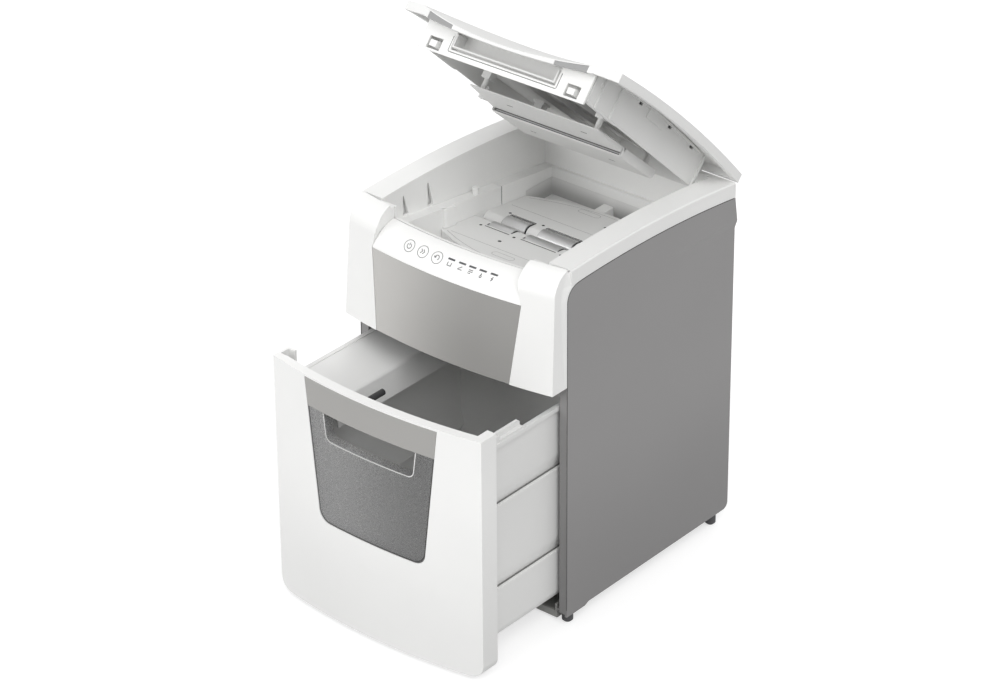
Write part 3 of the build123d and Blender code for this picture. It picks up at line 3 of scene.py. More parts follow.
import bmesh
import bpy
import numpy as np
from mathutils import Matrix, Vector


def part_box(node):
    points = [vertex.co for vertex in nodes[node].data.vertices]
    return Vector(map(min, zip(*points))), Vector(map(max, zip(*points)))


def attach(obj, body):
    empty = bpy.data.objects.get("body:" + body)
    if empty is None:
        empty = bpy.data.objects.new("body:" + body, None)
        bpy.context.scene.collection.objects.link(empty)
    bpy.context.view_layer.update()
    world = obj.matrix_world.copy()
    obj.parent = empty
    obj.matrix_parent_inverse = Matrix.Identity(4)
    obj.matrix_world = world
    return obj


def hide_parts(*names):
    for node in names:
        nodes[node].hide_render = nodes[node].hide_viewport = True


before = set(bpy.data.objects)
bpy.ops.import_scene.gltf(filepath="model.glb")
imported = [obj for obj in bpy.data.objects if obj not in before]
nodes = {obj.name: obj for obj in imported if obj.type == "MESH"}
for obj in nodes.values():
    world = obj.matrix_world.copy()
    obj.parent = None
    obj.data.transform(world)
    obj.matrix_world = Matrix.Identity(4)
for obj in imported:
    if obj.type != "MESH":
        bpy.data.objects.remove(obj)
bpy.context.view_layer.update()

# Studio: a seamless pale floor under an even white sky, with a low broad light from the front left,
# a second one from the right and a weak one from behind.
# The camera is a long lens that stands where the photograph was taken from.
photo_width = 1000
view_azimuth = radians(40.01)
view_elevation = radians(29.36)
view_roll = radians(-0.39)
view_distance = 4.66504
view_target = Vector((-0.02973, -0.05479, 0.27932))
focal_pixels = 3854.67
sensor_width = 36.0
sky_level = 0.46
key_level = 1.19
key_turn = (radians(72), 0.0, radians(-25))
fill_level = 1.46
fill_turn = (radians(43), 0.0, radians(56))
back_level = 0.55
back_turn = (radians(48), 0.0, radians(200))
lamp_softness = radians(45)
floor_half = 9.0
floor_colour = (0.52, 0.52, 0.52, 1.0)
floor_lift = 0.62


def grid_object(name, *grids, thickness=0.0):
    """Mesh of surfaces given as arrays of points [u, v, xyz]: one quad between each four neighbours.

    Points that meet are joined, so that a seam or a pole closes, and the sheet is thickened along its normal.
    """
    faces = []
    count = 0
    for points in grids:
        index = np.arange(points.shape[0] * points.shape[1]).reshape(points.shape[:2]) + count
        quads = np.stack([index[:-1, :-1], index[1:, :-1], index[1:, 1:], index[:-1, 1:]], axis=-1)
        faces.append(quads.reshape(-1, 4))
        count += index.size
    mesh = bpy.data.meshes.new(name)
    mesh.from_pydata(np.concatenate([g.reshape(-1, 3) for g in grids]).tolist(), [],
                     np.concatenate(faces).tolist())
    shape = bmesh.new()
    shape.from_mesh(mesh)
    bmesh.ops.remove_doubles(shape, verts=shape.verts, dist=0.000005)
    bmesh.ops.dissolve_degenerate(shape, edges=shape.edges, dist=0.000001)
    shape.to_mesh(mesh)
    shape.free()
    mesh.polygons.foreach_set("use_smooth", np.ones(len(mesh.polygons), bool))
    mesh.set_sharp_from_angle(angle=radians(40))
    piece = bpy.data.objects.new(name, mesh)
    bpy.context.scene.collection.objects.link(piece)
    if thickness:
        shell = piece.modifiers.new("thickness", "SOLIDIFY")
        shell.thickness = thickness
        shell.offset = 1.0
        shading = piece.modifiers.new("shade", "WEIGHTED_NORMAL")
        shading.weight = 80
        shading.keep_sharp = True
    return piece


def seen_directly(tree):
    """Socket that is 1 for camera, glossy and transmission rays, and 0 for the light that falls on things."""
    path = tree.nodes.new("ShaderNodeLightPath")
    socket = path.outputs["Is Camera Ray"]
    for kind in ("Is Glossy Ray", "Is Transmission Ray"):
        either = tree.nodes.new("ShaderNodeMath")
        either.operation = "MAXIMUM"
        tree.links.new(socket, either.inputs[0])
        tree.links.new(path.outputs[kind], either.inputs[1])
        socket = either.outputs[0]
    return socket


away = Vector((sin(view_azimuth) * cos(view_elevation), -cos(view_azimuth) * cos(view_elevation),
               sin(view_elevation)))
level = (-away).cross(Vector((0, 0, 1))).normalized()
upright = level.cross(-away)
camera_right = level * cos(view_roll) + upright * sin(view_roll)
camera_up = upright * cos(view_roll) - level * sin(view_roll)
camera_data = bpy.data.cameras.new("photo_camera")
camera_data.sensor_width = sensor_width
camera_data.lens = focal_pixels / photo_width * sensor_width
camera_data.clip_end = 100.0
camera = bpy.data.objects.new("photo_camera", camera_data)
camera.matrix_world = Matrix.Translation(view_target + away * view_distance) @ Matrix(
    (camera_right, camera_up, away)).transposed().to_4x4()
bpy.context.scene.collection.objects.link(camera)
bpy.context.scene.camera = camera
bpy.context.scene.view_settings.view_transform = "Standard"

world = bpy.data.worlds.new("studio_sky")
world.use_nodes = True
bpy.context.scene.world = world
sky_strength = world.node_tree.nodes.new("ShaderNodeMath")
sky_strength.operation = "MULTIPLY_ADD"
sky_strength.inputs[1].default_value = 1.0 - sky_level
sky_strength.inputs[2].default_value = sky_level
world.node_tree.links.new(seen_directly(world.node_tree), sky_strength.inputs[0])
sky = world.node_tree.nodes["Background"]
sky.inputs["Color"].default_value = (1.0, 1.0, 1.0, 1.0)
world.node_tree.links.new(sky_strength.outputs[0], sky.inputs["Strength"])

for lamp_name, lamp_level, lamp_turn in (("key_light", key_level, key_turn),
                                         ("fill_light", fill_level, fill_turn),
                                         ("back_light", back_level, back_turn)):
    lamp_data = bpy.data.lights.new(lamp_name, "SUN")
    lamp_data.energy = lamp_level
    lamp_data.angle = lamp_softness
    lamp = bpy.data.objects.new(lamp_name, lamp_data)
    lamp.rotation_euler = lamp_turn
    bpy.context.scene.collection.objects.link(lamp)

span = np.linspace(-floor_half, floor_half, 3)
floor_points = np.stack([*np.meshgrid(span, span, indexing="ij"), np.zeros((3, 3))], axis=-1)
floor = grid_object("floor", floor_points)
floor_paint = bpy.data.materials.new("floor_paint")
floor_paint.use_nodes = True
floor_tree = floor_paint.node_tree
floor_shader = floor_tree.nodes["Principled BSDF"]
floor_shader.inputs["Base Color"].default_value = floor_colour
floor_shader.inputs["Roughness"].default_value = 1.0
floor_shader.inputs["Specular IOR Level"].default_value = 0.0
floor_shader.inputs["Emission Color"].default_value = (1.0, 1.0, 1.0, 1.0)
lift = floor_tree.nodes.new("ShaderNodeMath")
lift.operation = "MULTIPLY"
lift.inputs[1].default_value = floor_lift
floor_tree.links.new(seen_directly(floor_tree), lift.inputs[0])
floor_tree.links.new(lift.outputs[0], floor_shader.inputs["Emission Strength"])
floor.data.materials.append(floor_paint)

# Base: a grey moulded pan that ties the two panels together at the bottom, with soft feet under the panels.
# The pan's runners and the feet's rounded ends come from their solids, and only the finish is added here.


def linear(*srgb):
    """A colour as it is seen on a screen, 0 to 1, turned into light, with full opacity."""
    seen = np.array(srgb)
    light = np.where(seen <= 0.04045, seen / 12.92, ((seen + 0.055) / 1.055) ** 2.4)
    return (*light.tolist(), 1.0)


def finish(name, colour, roughness=(0.42, 0.52), shade=0.02, mottle=7.0, grain=1400.0, depth=0.00003,
           stretch=(1.0, 1.0, 1.0), metallic=0.0, specular=0.5):
    """Material: a colour that drifts slightly over the piece, and a fine grain that roughens and dents it.

    Two noises on the piece's own coordinates: a broad one moves the colour by the share shade, and a fine
    one, drawn out by stretch, moves the roughness between two values and the surface by depth metres.
    """
    material = bpy.data.materials.new(name)
    material.use_nodes = True
    tree = material.node_tree
    shader = tree.nodes["Principled BSDF"]
    shader.inputs["Metallic"].default_value = metallic
    shader.inputs["Specular IOR Level"].default_value = specular
    place = tree.nodes.new("ShaderNodeTexCoord")
    broad = tree.nodes.new("ShaderNodeTexNoise")
    broad.inputs["Scale"].default_value = mottle
    broad.inputs["Detail"].default_value = 3.0
    tree.links.new(place.outputs["Object"], broad.inputs["Vector"])
    drift = tree.nodes.new("ShaderNodeMix")
    drift.data_type = "RGBA"
    dark, light = (linear(*(np.clip(np.array(colour) * k, 0, 1))) for k in (1 - shade, 1 + shade))
    drift.inputs["A"].default_value = dark
    drift.inputs["B"].default_value = light
    tree.links.new(broad.outputs["Fac"], drift.inputs["Factor"])
    tree.links.new(drift.outputs["Result"], shader.inputs["Base Color"])
    mapping = tree.nodes.new("ShaderNodeMapping")
    mapping.inputs["Scale"].default_value = stretch
    tree.links.new(place.outputs["Object"], mapping.inputs["Vector"])
    fine = tree.nodes.new("ShaderNodeTexNoise")
    fine.inputs["Scale"].default_value = grain
    fine.inputs["Detail"].default_value = 2.0
    tree.links.new(mapping.outputs["Vector"], fine.inputs["Vector"])
    spread = tree.nodes.new("ShaderNodeMapRange")
    spread.inputs["To Min"].default_value = roughness[0]
    spread.inputs["To Max"].default_value = roughness[1]
    tree.links.new(fine.outputs["Fac"], spread.inputs["Value"])
    tree.links.new(spread.outputs["Result"], shader.inputs["Roughness"])
    bump = tree.nodes.new("ShaderNodeBump")
    bump.inputs["Strength"].default_value = 0.6
    bump.inputs["Distance"].default_value = depth
    tree.links.new(fine.outputs["Fac"], bump.inputs["Height"])
    tree.links.new(bump.outputs["Normal"], shader.inputs["Normal"])
    return material


def dress(material, *names):
    """Put one finish on whole pieces."""
    for name in names:
        nodes[name].data.materials.clear()
        nodes[name].data.materials.append(material)


def ease(width, *names):
    """Round the sharp edges of moulded pieces by a small radius, with even shading over the flats."""
    same_point = 0.000002
    flat_enough, sharp_edge = radians(0.5), radians(32)
    for name in names:
        weld = nodes[name].modifiers.new("join", "WELD")
        weld.merge_threshold = same_point
        flats = nodes[name].modifiers.new("flats", "DECIMATE")
        flats.decimate_type = "DISSOLVE"
        flats.angle_limit = flat_enough
        bevel = nodes[name].modifiers.new("round", "BEVEL")
        bevel.width = width
        bevel.segments = 3
        bevel.limit_method = "ANGLE"
        bevel.angle_limit = sharp_edge
        bevel.miter_outer = "MITER_ARC"
        bevel.harden_normals = False
        shading = nodes[name].modifiers.new("shade", "WEIGHTED_NORMAL")
        shading.weight = 80


black_plastic = finish("black_moulding", (0.16, 0.16, 0.165), roughness=(0.5, 0.65), depth=0.00005)
soft_black = finish("foot_rubber", (0.30, 0.30, 0.31), roughness=(0.6, 0.75))
base_grey = finish("base_moulding", (0.60, 0.60, 0.59), roughness=(0.45, 0.6), depth=0.00005)
dress(base_grey, "base_tray")
dress(soft_black, "feet")

# Side panels and rear wall: steel sheet with turned-in edges, sprayed in a satin mid grey.
# Both sides flare out slightly under the rim at the rear, as a grip for lifting; screws hold the rear wall.


def paint_light_fade(material, axis, start, stop):
    """Let a finish fade along one axis of the object: painted light and shade, where the colour lightens or
    darkens along it.

    The two ends, start and stop, are each a place in metres and a factor of the colour.
    """
    tree = material.node_tree
    shader = tree.nodes["Principled BSDF"]
    colour = shader.inputs["Base Color"].links[0].from_socket
    place = tree.nodes.new("ShaderNodeTexCoord")
    split = tree.nodes.new("ShaderNodeSeparateXYZ")
    tree.links.new(place.outputs["Object"], split.inputs["Vector"])
    fade = tree.nodes.new("ShaderNodeMapRange")
    fade.interpolation_type = "SMOOTHSTEP"
    fade.inputs["From Min"].default_value = start[0]
    fade.inputs["From Max"].default_value = stop[0]
    fade.inputs["To Min"].default_value = start[1]
    fade.inputs["To Max"].default_value = stop[1]
    tree.links.new(split.outputs[axis], fade.inputs["Value"])
    scale = tree.nodes.new("ShaderNodeVectorMath")
    scale.operation = "SCALE"
    tree.links.new(colour, scale.inputs[0])
    tree.links.new(fade.outputs["Result"], scale.inputs["Scale"])
    tree.links.new(scale.outputs["Vector"], shader.inputs["Base Color"])
    return material


def fit(piece, material, body):
    """Give a new piece its finish and the body that carries it."""
    piece.data.materials.append(material)
    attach(piece, body)


screw_radius = 3.2
screw_rise = 1.3


def screw_head(x, z, y):
    """Domed screw head: a quarter ellipse of radius against height, turned about an axis out of the wall."""
    tilt, turn = np.meshgrid(np.linspace(0, 0.5 * np.pi, 6), np.linspace(0, 2 * np.pi, 25), indexing="ij")
    radius = screw_radius * np.sin(tilt)
    return np.stack([x + radius * np.cos(turn), y + screw_rise * np.cos(tilt), z + radius * np.sin(turn)],
                    axis=-1)[:, ::-1] / 1000


def screw_cross(x, z, y):
    """Cross recess in a screw head: two narrow strips over its crown, shown as dark lines."""
    along, side = np.meshgrid(np.linspace(-1.7, 1.7, 5), (-0.35, 0.35), indexing="ij")
    high = y + screw_rise * np.sqrt(1.0 - (along ** 2 + side ** 2) / screw_radius ** 2) + 0.03
    flat = np.stack([x + along, high, z + side], axis=-1)
    upright = np.stack([x + side, high, z + along], axis=-1)
    return flat[:, ::-1] / 1000, upright / 1000


panel_spray = finish("panel_spray", (0.57, 0.565, 0.565), roughness=(0.40, 0.50), shade=0.015, grain=900.0,
                     depth=0.00004)
# Painted shade: the side panels and the rear wall are darker towards the bottom, down to 0.78 of their grey
# near the floor.
panel_painted_shade = paint_light_fade(panel_spray, "Z", (0.03, 0.78), (0.26, 1.0))
joint_shade = finish("joint_shade", (0.22, 0.22, 0.22), roughness=(0.7, 0.8))
screw_steel = finish("screw_steel", (0.72, 0.72, 0.73), roughness=(0.25, 0.4), metallic=1.0)
wall_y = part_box("rear_panel")[1][1] * 1000
screw_places = [(x, z, wall_y) for x in (-148.0, 148.0) for z in (40.0, 235.0, 425.0)]
screw_strips = [strip for place in screw_places for strip in screw_cross(*place)]
fit(grid_object("rear_screws", *(screw_head(*place) for place in screw_places)),
    screw_steel, "cabinet")
fit(grid_object("rear_screw_crosses", *screw_strips), joint_shade, "cabinet")
dress(panel_painted_shade, "side_panel_left", "side_panel_right", "rear_panel")
ease(0.0008, "side_panel_left", "side_panel_right")

# Mains inlet and switch: black moulded inserts, clipped into the rear wall.
# The rocker turns on two trunnions inside its frame.
switch_black = finish("switch_moulding", (0.12, 0.12, 0.12), roughness=(0.35, 0.45))
dress(switch_black, "power_inlet", "rocker_bezel", "mains_rocker")

# Carrier: a zinc-plated deck across the cabinet, and angle rails that the rim of the bin slides on.
# Both are folded sheet, with the faint streaks that rolling leaves.
zinc = finish("zinc_plate", (0.70, 0.71, 0.72), roughness=(0.30, 0.46), shade=0.05, mottle=30.0, grain=500.0,
              depth=0.00002, stretch=(0.15, 1.0, 1.0), metallic=0.9)
dress(zinc, "mechanism_deck", "drawer_rails", "cutter_frame_left", "cutter_frame_right")

# Cutting block: two shafts of hooked steel discs that run between each other, with stripper combs,
# bronze bushes and tie rods between two steel side frames.
cutter_steel = finish("cutter_steel", (0.62, 0.62, 0.63), roughness=(0.22, 0.38), shade=0.06, mottle=60.0,
                      grain=700.0, depth=0.00002, stretch=(4.0, 0.6, 0.6), metallic=1.0)
comb_black = finish("comb_nylon", (0.18, 0.18, 0.18), roughness=(0.45, 0.6))
bush_bronze = finish("bush_bronze", (0.66, 0.53, 0.34), roughness=(0.3, 0.45), metallic=1.0)
dress(cutter_steel, "cutter_rear", "cutter_front", "tie_rods", "gear_pins", "cutter_gear_rear",
      "cutter_gear_front", "motor_pinion", "roller_shaft_front", "roller_shaft_rear", "hinge_pins")
dress(comb_black, "comb_rear", "comb_front")
dress(bush_bronze, "cutter_bushes", "roller_bushes")

# Drive and electronics: nylon gears on the right-hand frame, a canned motor screwed to the deck, and two
# circuit boards on pillars. They are only seen with the covers off.
gear_nylon = finish("gear_nylon", (0.87, 0.86, 0.80), roughness=(0.35, 0.5), shade=0.03)
motor_paint = finish("motor_paint", (0.33, 0.33, 0.34), roughness=(0.35, 0.5), metallic=0.4)
board_green = finish("board_lacquer", (0.13, 0.35, 0.20), roughness=(0.25, 0.4), shade=0.10, mottle=220.0)
dress(gear_nylon, "idler_gear", "roller_gear_rear", "roller_gear_front", "reduction_gear")
dress(motor_paint, "motor")
dress(board_green, "power_board", "control_board")

# Top housing: one light moulding with the arched rim and the stepped paper bay inside it.
# It is screwed down on the cutting block and carries the lid's hinge ears.
housing_grey = finish("housing_moulding", (0.945, 0.945, 0.94), roughness=(0.45, 0.55))
dress(housing_grey, "top_housing", "switch_rail", "lid_plunger")
ease(0.0008, "top_housing", "switch_rail")
bay_slope = 0.117
ledge_z = 430.0


def on_ledge(y, rise):
    """Height of the bay's sloping ledge at the depth y, plus a rise; millimetres."""
    return ledge_z - bay_slope * y + rise


def slot_back(y0):
    """Pocket behind a slot of the bay's left wall: a sheet over depth and height, sunk in its middle.

    The sink follows one minus the fourth power of the distance from the slot's middle line.
    """
    wall_x, sink, top_z = -130.3, 3.0, 474.0
    across, up = np.meshgrid(np.linspace(-1, 1, 13), np.linspace(0, 1, 5), indexing="ij")
    y = y0 + 5.0 + 9.0 * across
    low = on_ledge(y0, -2.0)
    z = low + up * (top_z - low)
    x = wall_x - sink * (1.0 - across ** 4)
    return np.stack([x, y, z], axis=-1) / 1000


def rail_nose():
    """Rounded front end of the switch rail: a plan outline carried up from the bed to the ledge, with a top.

    In plan it leaves the rail's face, turns through a quarter circle of 4 mm and runs back along the rail.
    """
    face_x, corner = -112.0, 4.0
    turn = np.linspace(0.5 * np.pi, 0.0, 9)
    front = np.stack([face_x + corner * np.cos(turn), -58.3 - corner * np.sin(turn)], axis=-1)
    plan = np.concatenate([front, [[-108.0, -42.0], [-109.5, -40.5], [face_x, -40.5]]])
    low, high = on_ledge(plan[:, 1], -25.4), on_ledge(plan[:, 1], -1.2)
    side = np.stack([np.column_stack([plan, low]), np.column_stack([plan, high])], axis=1)
    flush = np.column_stack([np.full(len(plan), face_x), plan[:, 1], high])
    cap = np.stack([np.column_stack([plan, high]), flush], axis=1)
    return side / 1000, cap / 1000


def carried_up(plan, low, high):
    """Upright sheet: a plan path [n, 2] carried from one height to another; millimetres."""
    ends = [np.column_stack([plan, np.broadcast_to(z, len(plan))]) for z in (low, high)]
    return np.stack(ends, axis=1) / 1000


def carried_back(section, depth):
    """Bar or sheet: a section [n, 2] across and up, carried to each depth in turn; millimetres."""
    flat = np.repeat(section[:, None], len(depth), axis=1)
    return np.stack([flat[..., 0], np.broadcast_to(depth, flat.shape[:2]), flat[..., 1]], axis=-1) / 1000


def well_lining():
    """Step low on the rear wall of the bay: an upright band round the corner of the rear wells, coloured with
    painted shade that darkens towards its foot.
    """
    right = np.array([(111.4, 95.0), (111.4, 143.5), (109.4, 145.5)])
    return carried_up(np.concatenate([right, (right * (-1, 1))[::-1]]), 375.3, 399.5)


def well_rib(x0, x1):
    """Rib between two rear wells: a rounded section across it, carried from the plate's edge to the rear."""
    foot_z, edge_z, ridge = 375.2, 386.5, 2.0
    turn = np.linspace(np.pi, 0, 9)
    across = (x0 + x1) / 2 + ((x1 - x0) / 2) * np.cos(turn)
    top = np.stack([across, edge_z + ridge * np.sin(turn) ** 0.5], axis=-1)
    section = np.concatenate([[[x0, foot_z]], top, [[x1, foot_z]]])
    return carried_back(section, np.array([119.0, 132.0, 145.4]))[:, ::-1]


# Painted shade in the rear wells: the lining's colour falls from 0.95 at its top to 0.55 at its foot.
well_shade = paint_light_fade(finish("well_painted_shade", (0.90, 0.90, 0.895), roughness=(0.5, 0.6)),
                    "Z", (0.378, 0.55), (0.3995, 0.95))
joint_y = 48.3
joint_plan = np.array([(-111.85, joint_y + 0.4), (-111.85, joint_y - 0.4)])
joint_strip = carried_up(joint_plan, on_ledge(joint_y, -25.2), on_ledge(joint_y, -0.2))
fit(grid_object("rail_joint", joint_strip, thickness=0.00005), joint_shade, "cabinet")
fit(grid_object("well_lining", well_lining(), thickness=0.0009), well_shade, "cabinet")
for piece in (grid_object("bay_slot_backs", slot_back(-117.0), slot_back(-72.0)),
              grid_object("rail_nose", *rail_nose()),
              grid_object("well_ribs", well_rib(-30.0, -14.0), well_rib(14.0, 30.0))):
    fit(piece, housing_grey, "cabinet")

# Paper bed: two moulded plates whose rounded lips dip towards the rollers between them.
# The rollers are ground rubber sleeves on steel shafts.
bed_grey = finish("bed_moulding", (0.91, 0.91, 0.905), roughness=(0.45, 0.55))
roller_rubber = finish("roller_rubber", (0.80, 0.80, 0.80), roughness=(0.24, 0.36), grain=900.0,
                       depth=0.00004, metallic=0.75)
dress(bed_grey, "feed_plate_front", "feed_plate_rear")
ease(0.0005, "feed_plate_front", "feed_plate_rear")
dress(roller_rubber, "feed_rollers_front", "feed_rollers_rear")


def sideways(path):
    """Unit vectors that point to the left of a path [n, 2], from the run between its neighbours."""
    run = np.gradient(path, axis=0)
    run /= np.linalg.norm(run, axis=1, keepdims=True)
    return np.stack([-run[:, 1], run[:, 0]], axis=-1)


def stroke(path, width):
    """Flat line along a path [n, 2]: its two edges, half the width to either side, as a grid [n, 2, 2]."""
    path = np.asarray(path, float)
    side = sideways(path) * width / 2
    return np.stack([path - side, path + side], axis=1)


def disc(centre, radius):
    """Filled circle in the plane: rings of growing radius round the centre, as a grid [4, 25, 2]."""
    turn = np.linspace(0, 2 * np.pi, 25)
    ring = np.stack([np.cos(turn), np.sin(turn)], axis=-1)
    return np.asarray(centre) + np.linspace(0, radius, 4)[:, None, None] * ring


def stadium(centre, length, width, line):
    """Outline of a strip with half-round ends, drawn as a line: two half turns joined by straight runs."""
    turn = np.linspace(-0.5 * np.pi, 1.5 * np.pi, 41)
    reach = np.where(np.cos(turn) >= -1e-9, 1.0, -1.0) * (length - width) / 2
    path = np.stack([reach + width / 2 * np.cos(turn), width / 2 * np.sin(turn)], axis=-1)
    return stroke(np.concatenate([path, path[:1]]) + centre, line)


def on_bed(flat):
    """Points just over the sloping bed, from plan points in millimetres."""
    bed_z, lift_off = 404.3, 0.02
    z = bed_z + lift_off - bay_slope * flat[..., 1]
    return np.concatenate([flat, z[..., None]], axis=-1) / 1000


def edge_line(y, reach):
    """Line engraved beside the curved outer edge of a plate: a shallow parabola across the plate."""
    x = np.linspace(-104.0, 104.0, 41)
    return stroke(np.stack([x, y + reach * (x / 111.6) ** 2], axis=-1), 0.6)


def straight(x0, x1, y, width):
    """Straight line across the plate."""
    return stroke(np.stack([np.linspace(x0, x1, 9), np.full(9, y)], axis=-1), width)


def end_gap(axis, towards, x):
    """Gap beside one end of a roller: a strip of 1.4 mm that runs round the lip.

    It makes about a third of a turn about the roller's axis, tilted with the bed, and leaves it on a
    straight.
    """
    lip_radius, tilt_sin, tilt_cos = 11.25, 0.1162, 0.9932
    turn = np.radians(np.linspace(-40, 95, 19))
    radius = np.where(turn < 0, lip_radius / np.cos(turn), lip_radius)
    across, up = radius * np.sin(turn) * towards, radius * np.cos(turn)
    y = axis[0] + tilt_sin * up + tilt_cos * across
    z = axis[1] + tilt_cos * up - tilt_sin * across
    edges = [np.stack([np.full(19, x + half), y, z], axis=-1) for half in (-0.7, 0.7)]
    return np.stack(edges if towards > 0 else edges[::-1], axis=1)[:, ::-1] / 1000


roller_spans = ((-82.0, -46.0), (-26.0, 26.0), (46.0, 82.0))
roller_ends = [x for x0, x1 in roller_spans for x in (x0 - 0.75, x1 + 0.75)]
roller_axes = (((21.9, 390.66), -1), ((-5.9, 393.92), 1))
engraved_lines = (edge_line(117.5, -30.0), edge_line(-89.5, 30.0), straight(-100.0, 100.0, -61.0, 0.6),
                  straight(-104.0, 104.0, 58.0, 0.6), stadium((-22.0, 108.0), 32.0, 10.0, 0.6),
                  stadium((-8.0, -74.0), 32.0, 10.0, 0.6))
slot_lines = [straight(x0 - 1.0, x1 + 1.0, y, 1.5) for x0, x1 in roller_spans for y in (33.8, -18.0)]
screw_holes = [disc(place, 2.4) for place in ((19.0, 88.0), (-40.0, -42.0))]
screw_holes += [disc((x, y), 1.9) for x in (-88.0, -36.0, 36.0, 88.0) for y in (35.9, -19.9)]
end_gaps = [end_gap(axis, towards, x) for axis, towards in roller_axes for x in roller_ends]
engraved_line = finish("engraved_line", (0.66, 0.66, 0.655), roughness=(0.5, 0.6))
gap_shade = finish("gap_shade", (0.13, 0.13, 0.13), roughness=(0.7, 0.8))
fit(grid_object("bed_engraving", *(on_bed(flat) for flat in engraved_lines), thickness=0.00006),
    engraved_line, "cabinet")
fit(grid_object("bed_gaps", *(on_bed(flat) for flat in slot_lines + screw_holes), *end_gaps,
                thickness=0.00006), gap_shade, "cabinet")

# Front: two white corner covers, a white visor with the touch keys, and a grey panel between them.
# All are bowed about one axis and clip to the cabinet from the front.
front_white = finish("white_moulding", (0.955, 0.955, 0.95), roughness=(0.38, 0.46))
front_grey = finish("grey_moulding", (0.64, 0.635, 0.625), roughness=(0.34, 0.44), shade=0.02)
dress(front_white, "shoulder_left", "shoulder_right", "control_strip")
# Painted light: the grey front panel is lightened towards its left end and darkened towards its right end.
panel_painted_light = paint_light_fade(finish("panel_moulding", (0.63, 0.625, 0.615), roughness=(0.34, 0.44)),
                      "X", (-0.12, 1.55), (0.06, 0.88))
dress(panel_painted_light, "front_panel")
ease(0.0012, "shoulder_left", "shoulder_right")
ease(0.0006, "control_strip", "front_panel")


def crown(y):
    """Height of the side panels' arched top line at the depth y, as a parabola; millimetres."""
    top_z, top_y, spread = 465.7, -55.0, 3400.0
    return top_z - (y - top_y) ** 2 / spread


def panel_corner(radius):
    """Side view of the panel's rounded upper front corner, from the front edge up to the arched top line."""
    turn = np.linspace(np.pi, 0.53 * np.pi, 13)
    return np.stack([-140.0 + radius * np.cos(turn), 443.0 + radius * np.sin(turn)], axis=-1)


def corner_web(side):
    """Skin between a shoulder's side, the panel's rounded corner and the rim: a blend across two curves.

    Seen from the side, the inner curve follows the shoulder's tapering side, and the outer one the edge of
    the panel and then the rim.
    """
    edge_y = -160.4
    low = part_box("shoulder_right")[0][2] * 1000 + 0.4
    outer = np.concatenate([[[edge_y, low], [edge_y, 370.0], [edge_y, 430.0]], panel_corner(20.4),
                            [[-140.0, 468.0], [-139.0, 474.0], [-138.5, 480.6]]])
    inner = np.stack([np.interp(outer[:, 1], [low, 462.0, 472.0, 480.6], [-171.0, -171.0, -168.0, -161.0]),
                      outer[:, 1]], axis=-1)
    v = np.linspace(0, 1, 9)
    flat = inner[:, None] + v[None, :, None] * (outer - inner)[:, None]
    shoulder_x = 160.15 - 0.026 * np.maximum(0.0, flat[..., 1] - 299.0)
    x = shoulder_x + (160.12 - shoulder_x) * (v * v * (3 - 2 * v))[None, :]
    points = np.stack([side * x, flat[..., 0], flat[..., 1]], axis=-1) / 1000
    return points if side < 0 else points[:, ::-1]


def panel_joint(side):
    """Shadow line round a side panel: up its front edge, round the corner and back along the arched top."""
    edge_y, face_x = -160.3, 160.14
    y = np.linspace(-134.0, 157.0, 36)
    path = np.concatenate([[[edge_y, 24.0], [edge_y, 240.0], [edge_y, 430.0]], panel_corner(20.3),
                           np.stack([y, crown(y) + 0.1], axis=-1)])
    flat = stroke(path, 1.0)
    points = np.stack([np.full(flat.shape[:2], side * face_x), flat[..., 0], flat[..., 1]], axis=-1) / 1000
    return points if side > 0 else points[:, ::-1]


fit(grid_object("corner_webs", corner_web(-1), corner_web(1), thickness=-0.0006),
    front_white, "cabinet")
fit(grid_object("panel_joints", panel_joint(-1), panel_joint(1), thickness=0.00005),
    joint_shade, "cabinet")


def on_visor(flat):
    """Points just over the visor's skin, from millimetres across it (x) and up its round (s).

    The round is an arc of 41.6 mm radius over a sloped chord, bowed about the upright axis of the front.
    """
    round_radius, chord_depth, bow_axis_y = 41.653, 35.623, 604.5
    chord_y, chord_z, chord_cos, chord_sin = -180.413, 451.0, 0.73916, 0.67353
    x, s = flat[..., 0], flat[..., 1]
    above = np.sqrt(round_radius ** 2 - s ** 2) - chord_depth
    y = chord_y + chord_cos * s - chord_sin * above
    z = chord_z + chord_sin * s + chord_cos * above
    y = bow_axis_y - np.sqrt((bow_axis_y - y) ** 2 - x ** 2)
    return np.stack([x, y, z], axis=-1) / 1000


def arc(centre, radius, start, stop, width):
    """Part of a ring: a line of even width round a centre, between two angles in degrees."""
    turn = np.radians(np.linspace(start, stop, 49))
    return stroke(np.asarray(centre) + radius * np.stack([np.cos(turn), np.sin(turn)], axis=-1), width)


def bar(x0, s0, x1, s1, width):
    """Straight line on the visor."""
    return stroke(np.linspace((x0, s0), (x1, s1), 7), width)


key_places = ((-59.4, -1.0), (-37.4, -1.0), (-15.1, -1.0))
key_signs = [arc(place, 7.5, 90, 450, 0.7) for place in key_places]
(x1, s1), (x2, s2), (x3, s3) = key_places
key_signs += [arc((x1, s1 - 0.3), 3.1, 125, 415, 0.9), bar(x1, s1 + 0.4, x1, s1 + 3.9, 0.9)]
for shift in (-1.6, 1.8):
    key_signs += [bar(x2 + shift - 1.6, s2 + 2.8, x2 + shift + 0.9, s2 - 0.1, 0.9),
                  bar(x2 + shift - 1.6, s2 - 2.8, x2 + shift + 0.9, s2 + 0.1, 0.9)]
key_signs += [arc((x3, s3), 3.0, -60, 200, 0.9), bar(x3 - 4.5, s3 + 1.1, x3 - 2.7, s3 - 1.0, 0.9),
              bar(x3 - 2.9, s3 - 1.0, x3 - 0.9, s3 + 0.9, 0.9)]
state_places = (4.8, 21.0, 36.0, 51.0, 66.8)
state_bars = [bar(x - 5.0, 3.4, x + 5.0, 3.4, 2.4) for x in state_places]
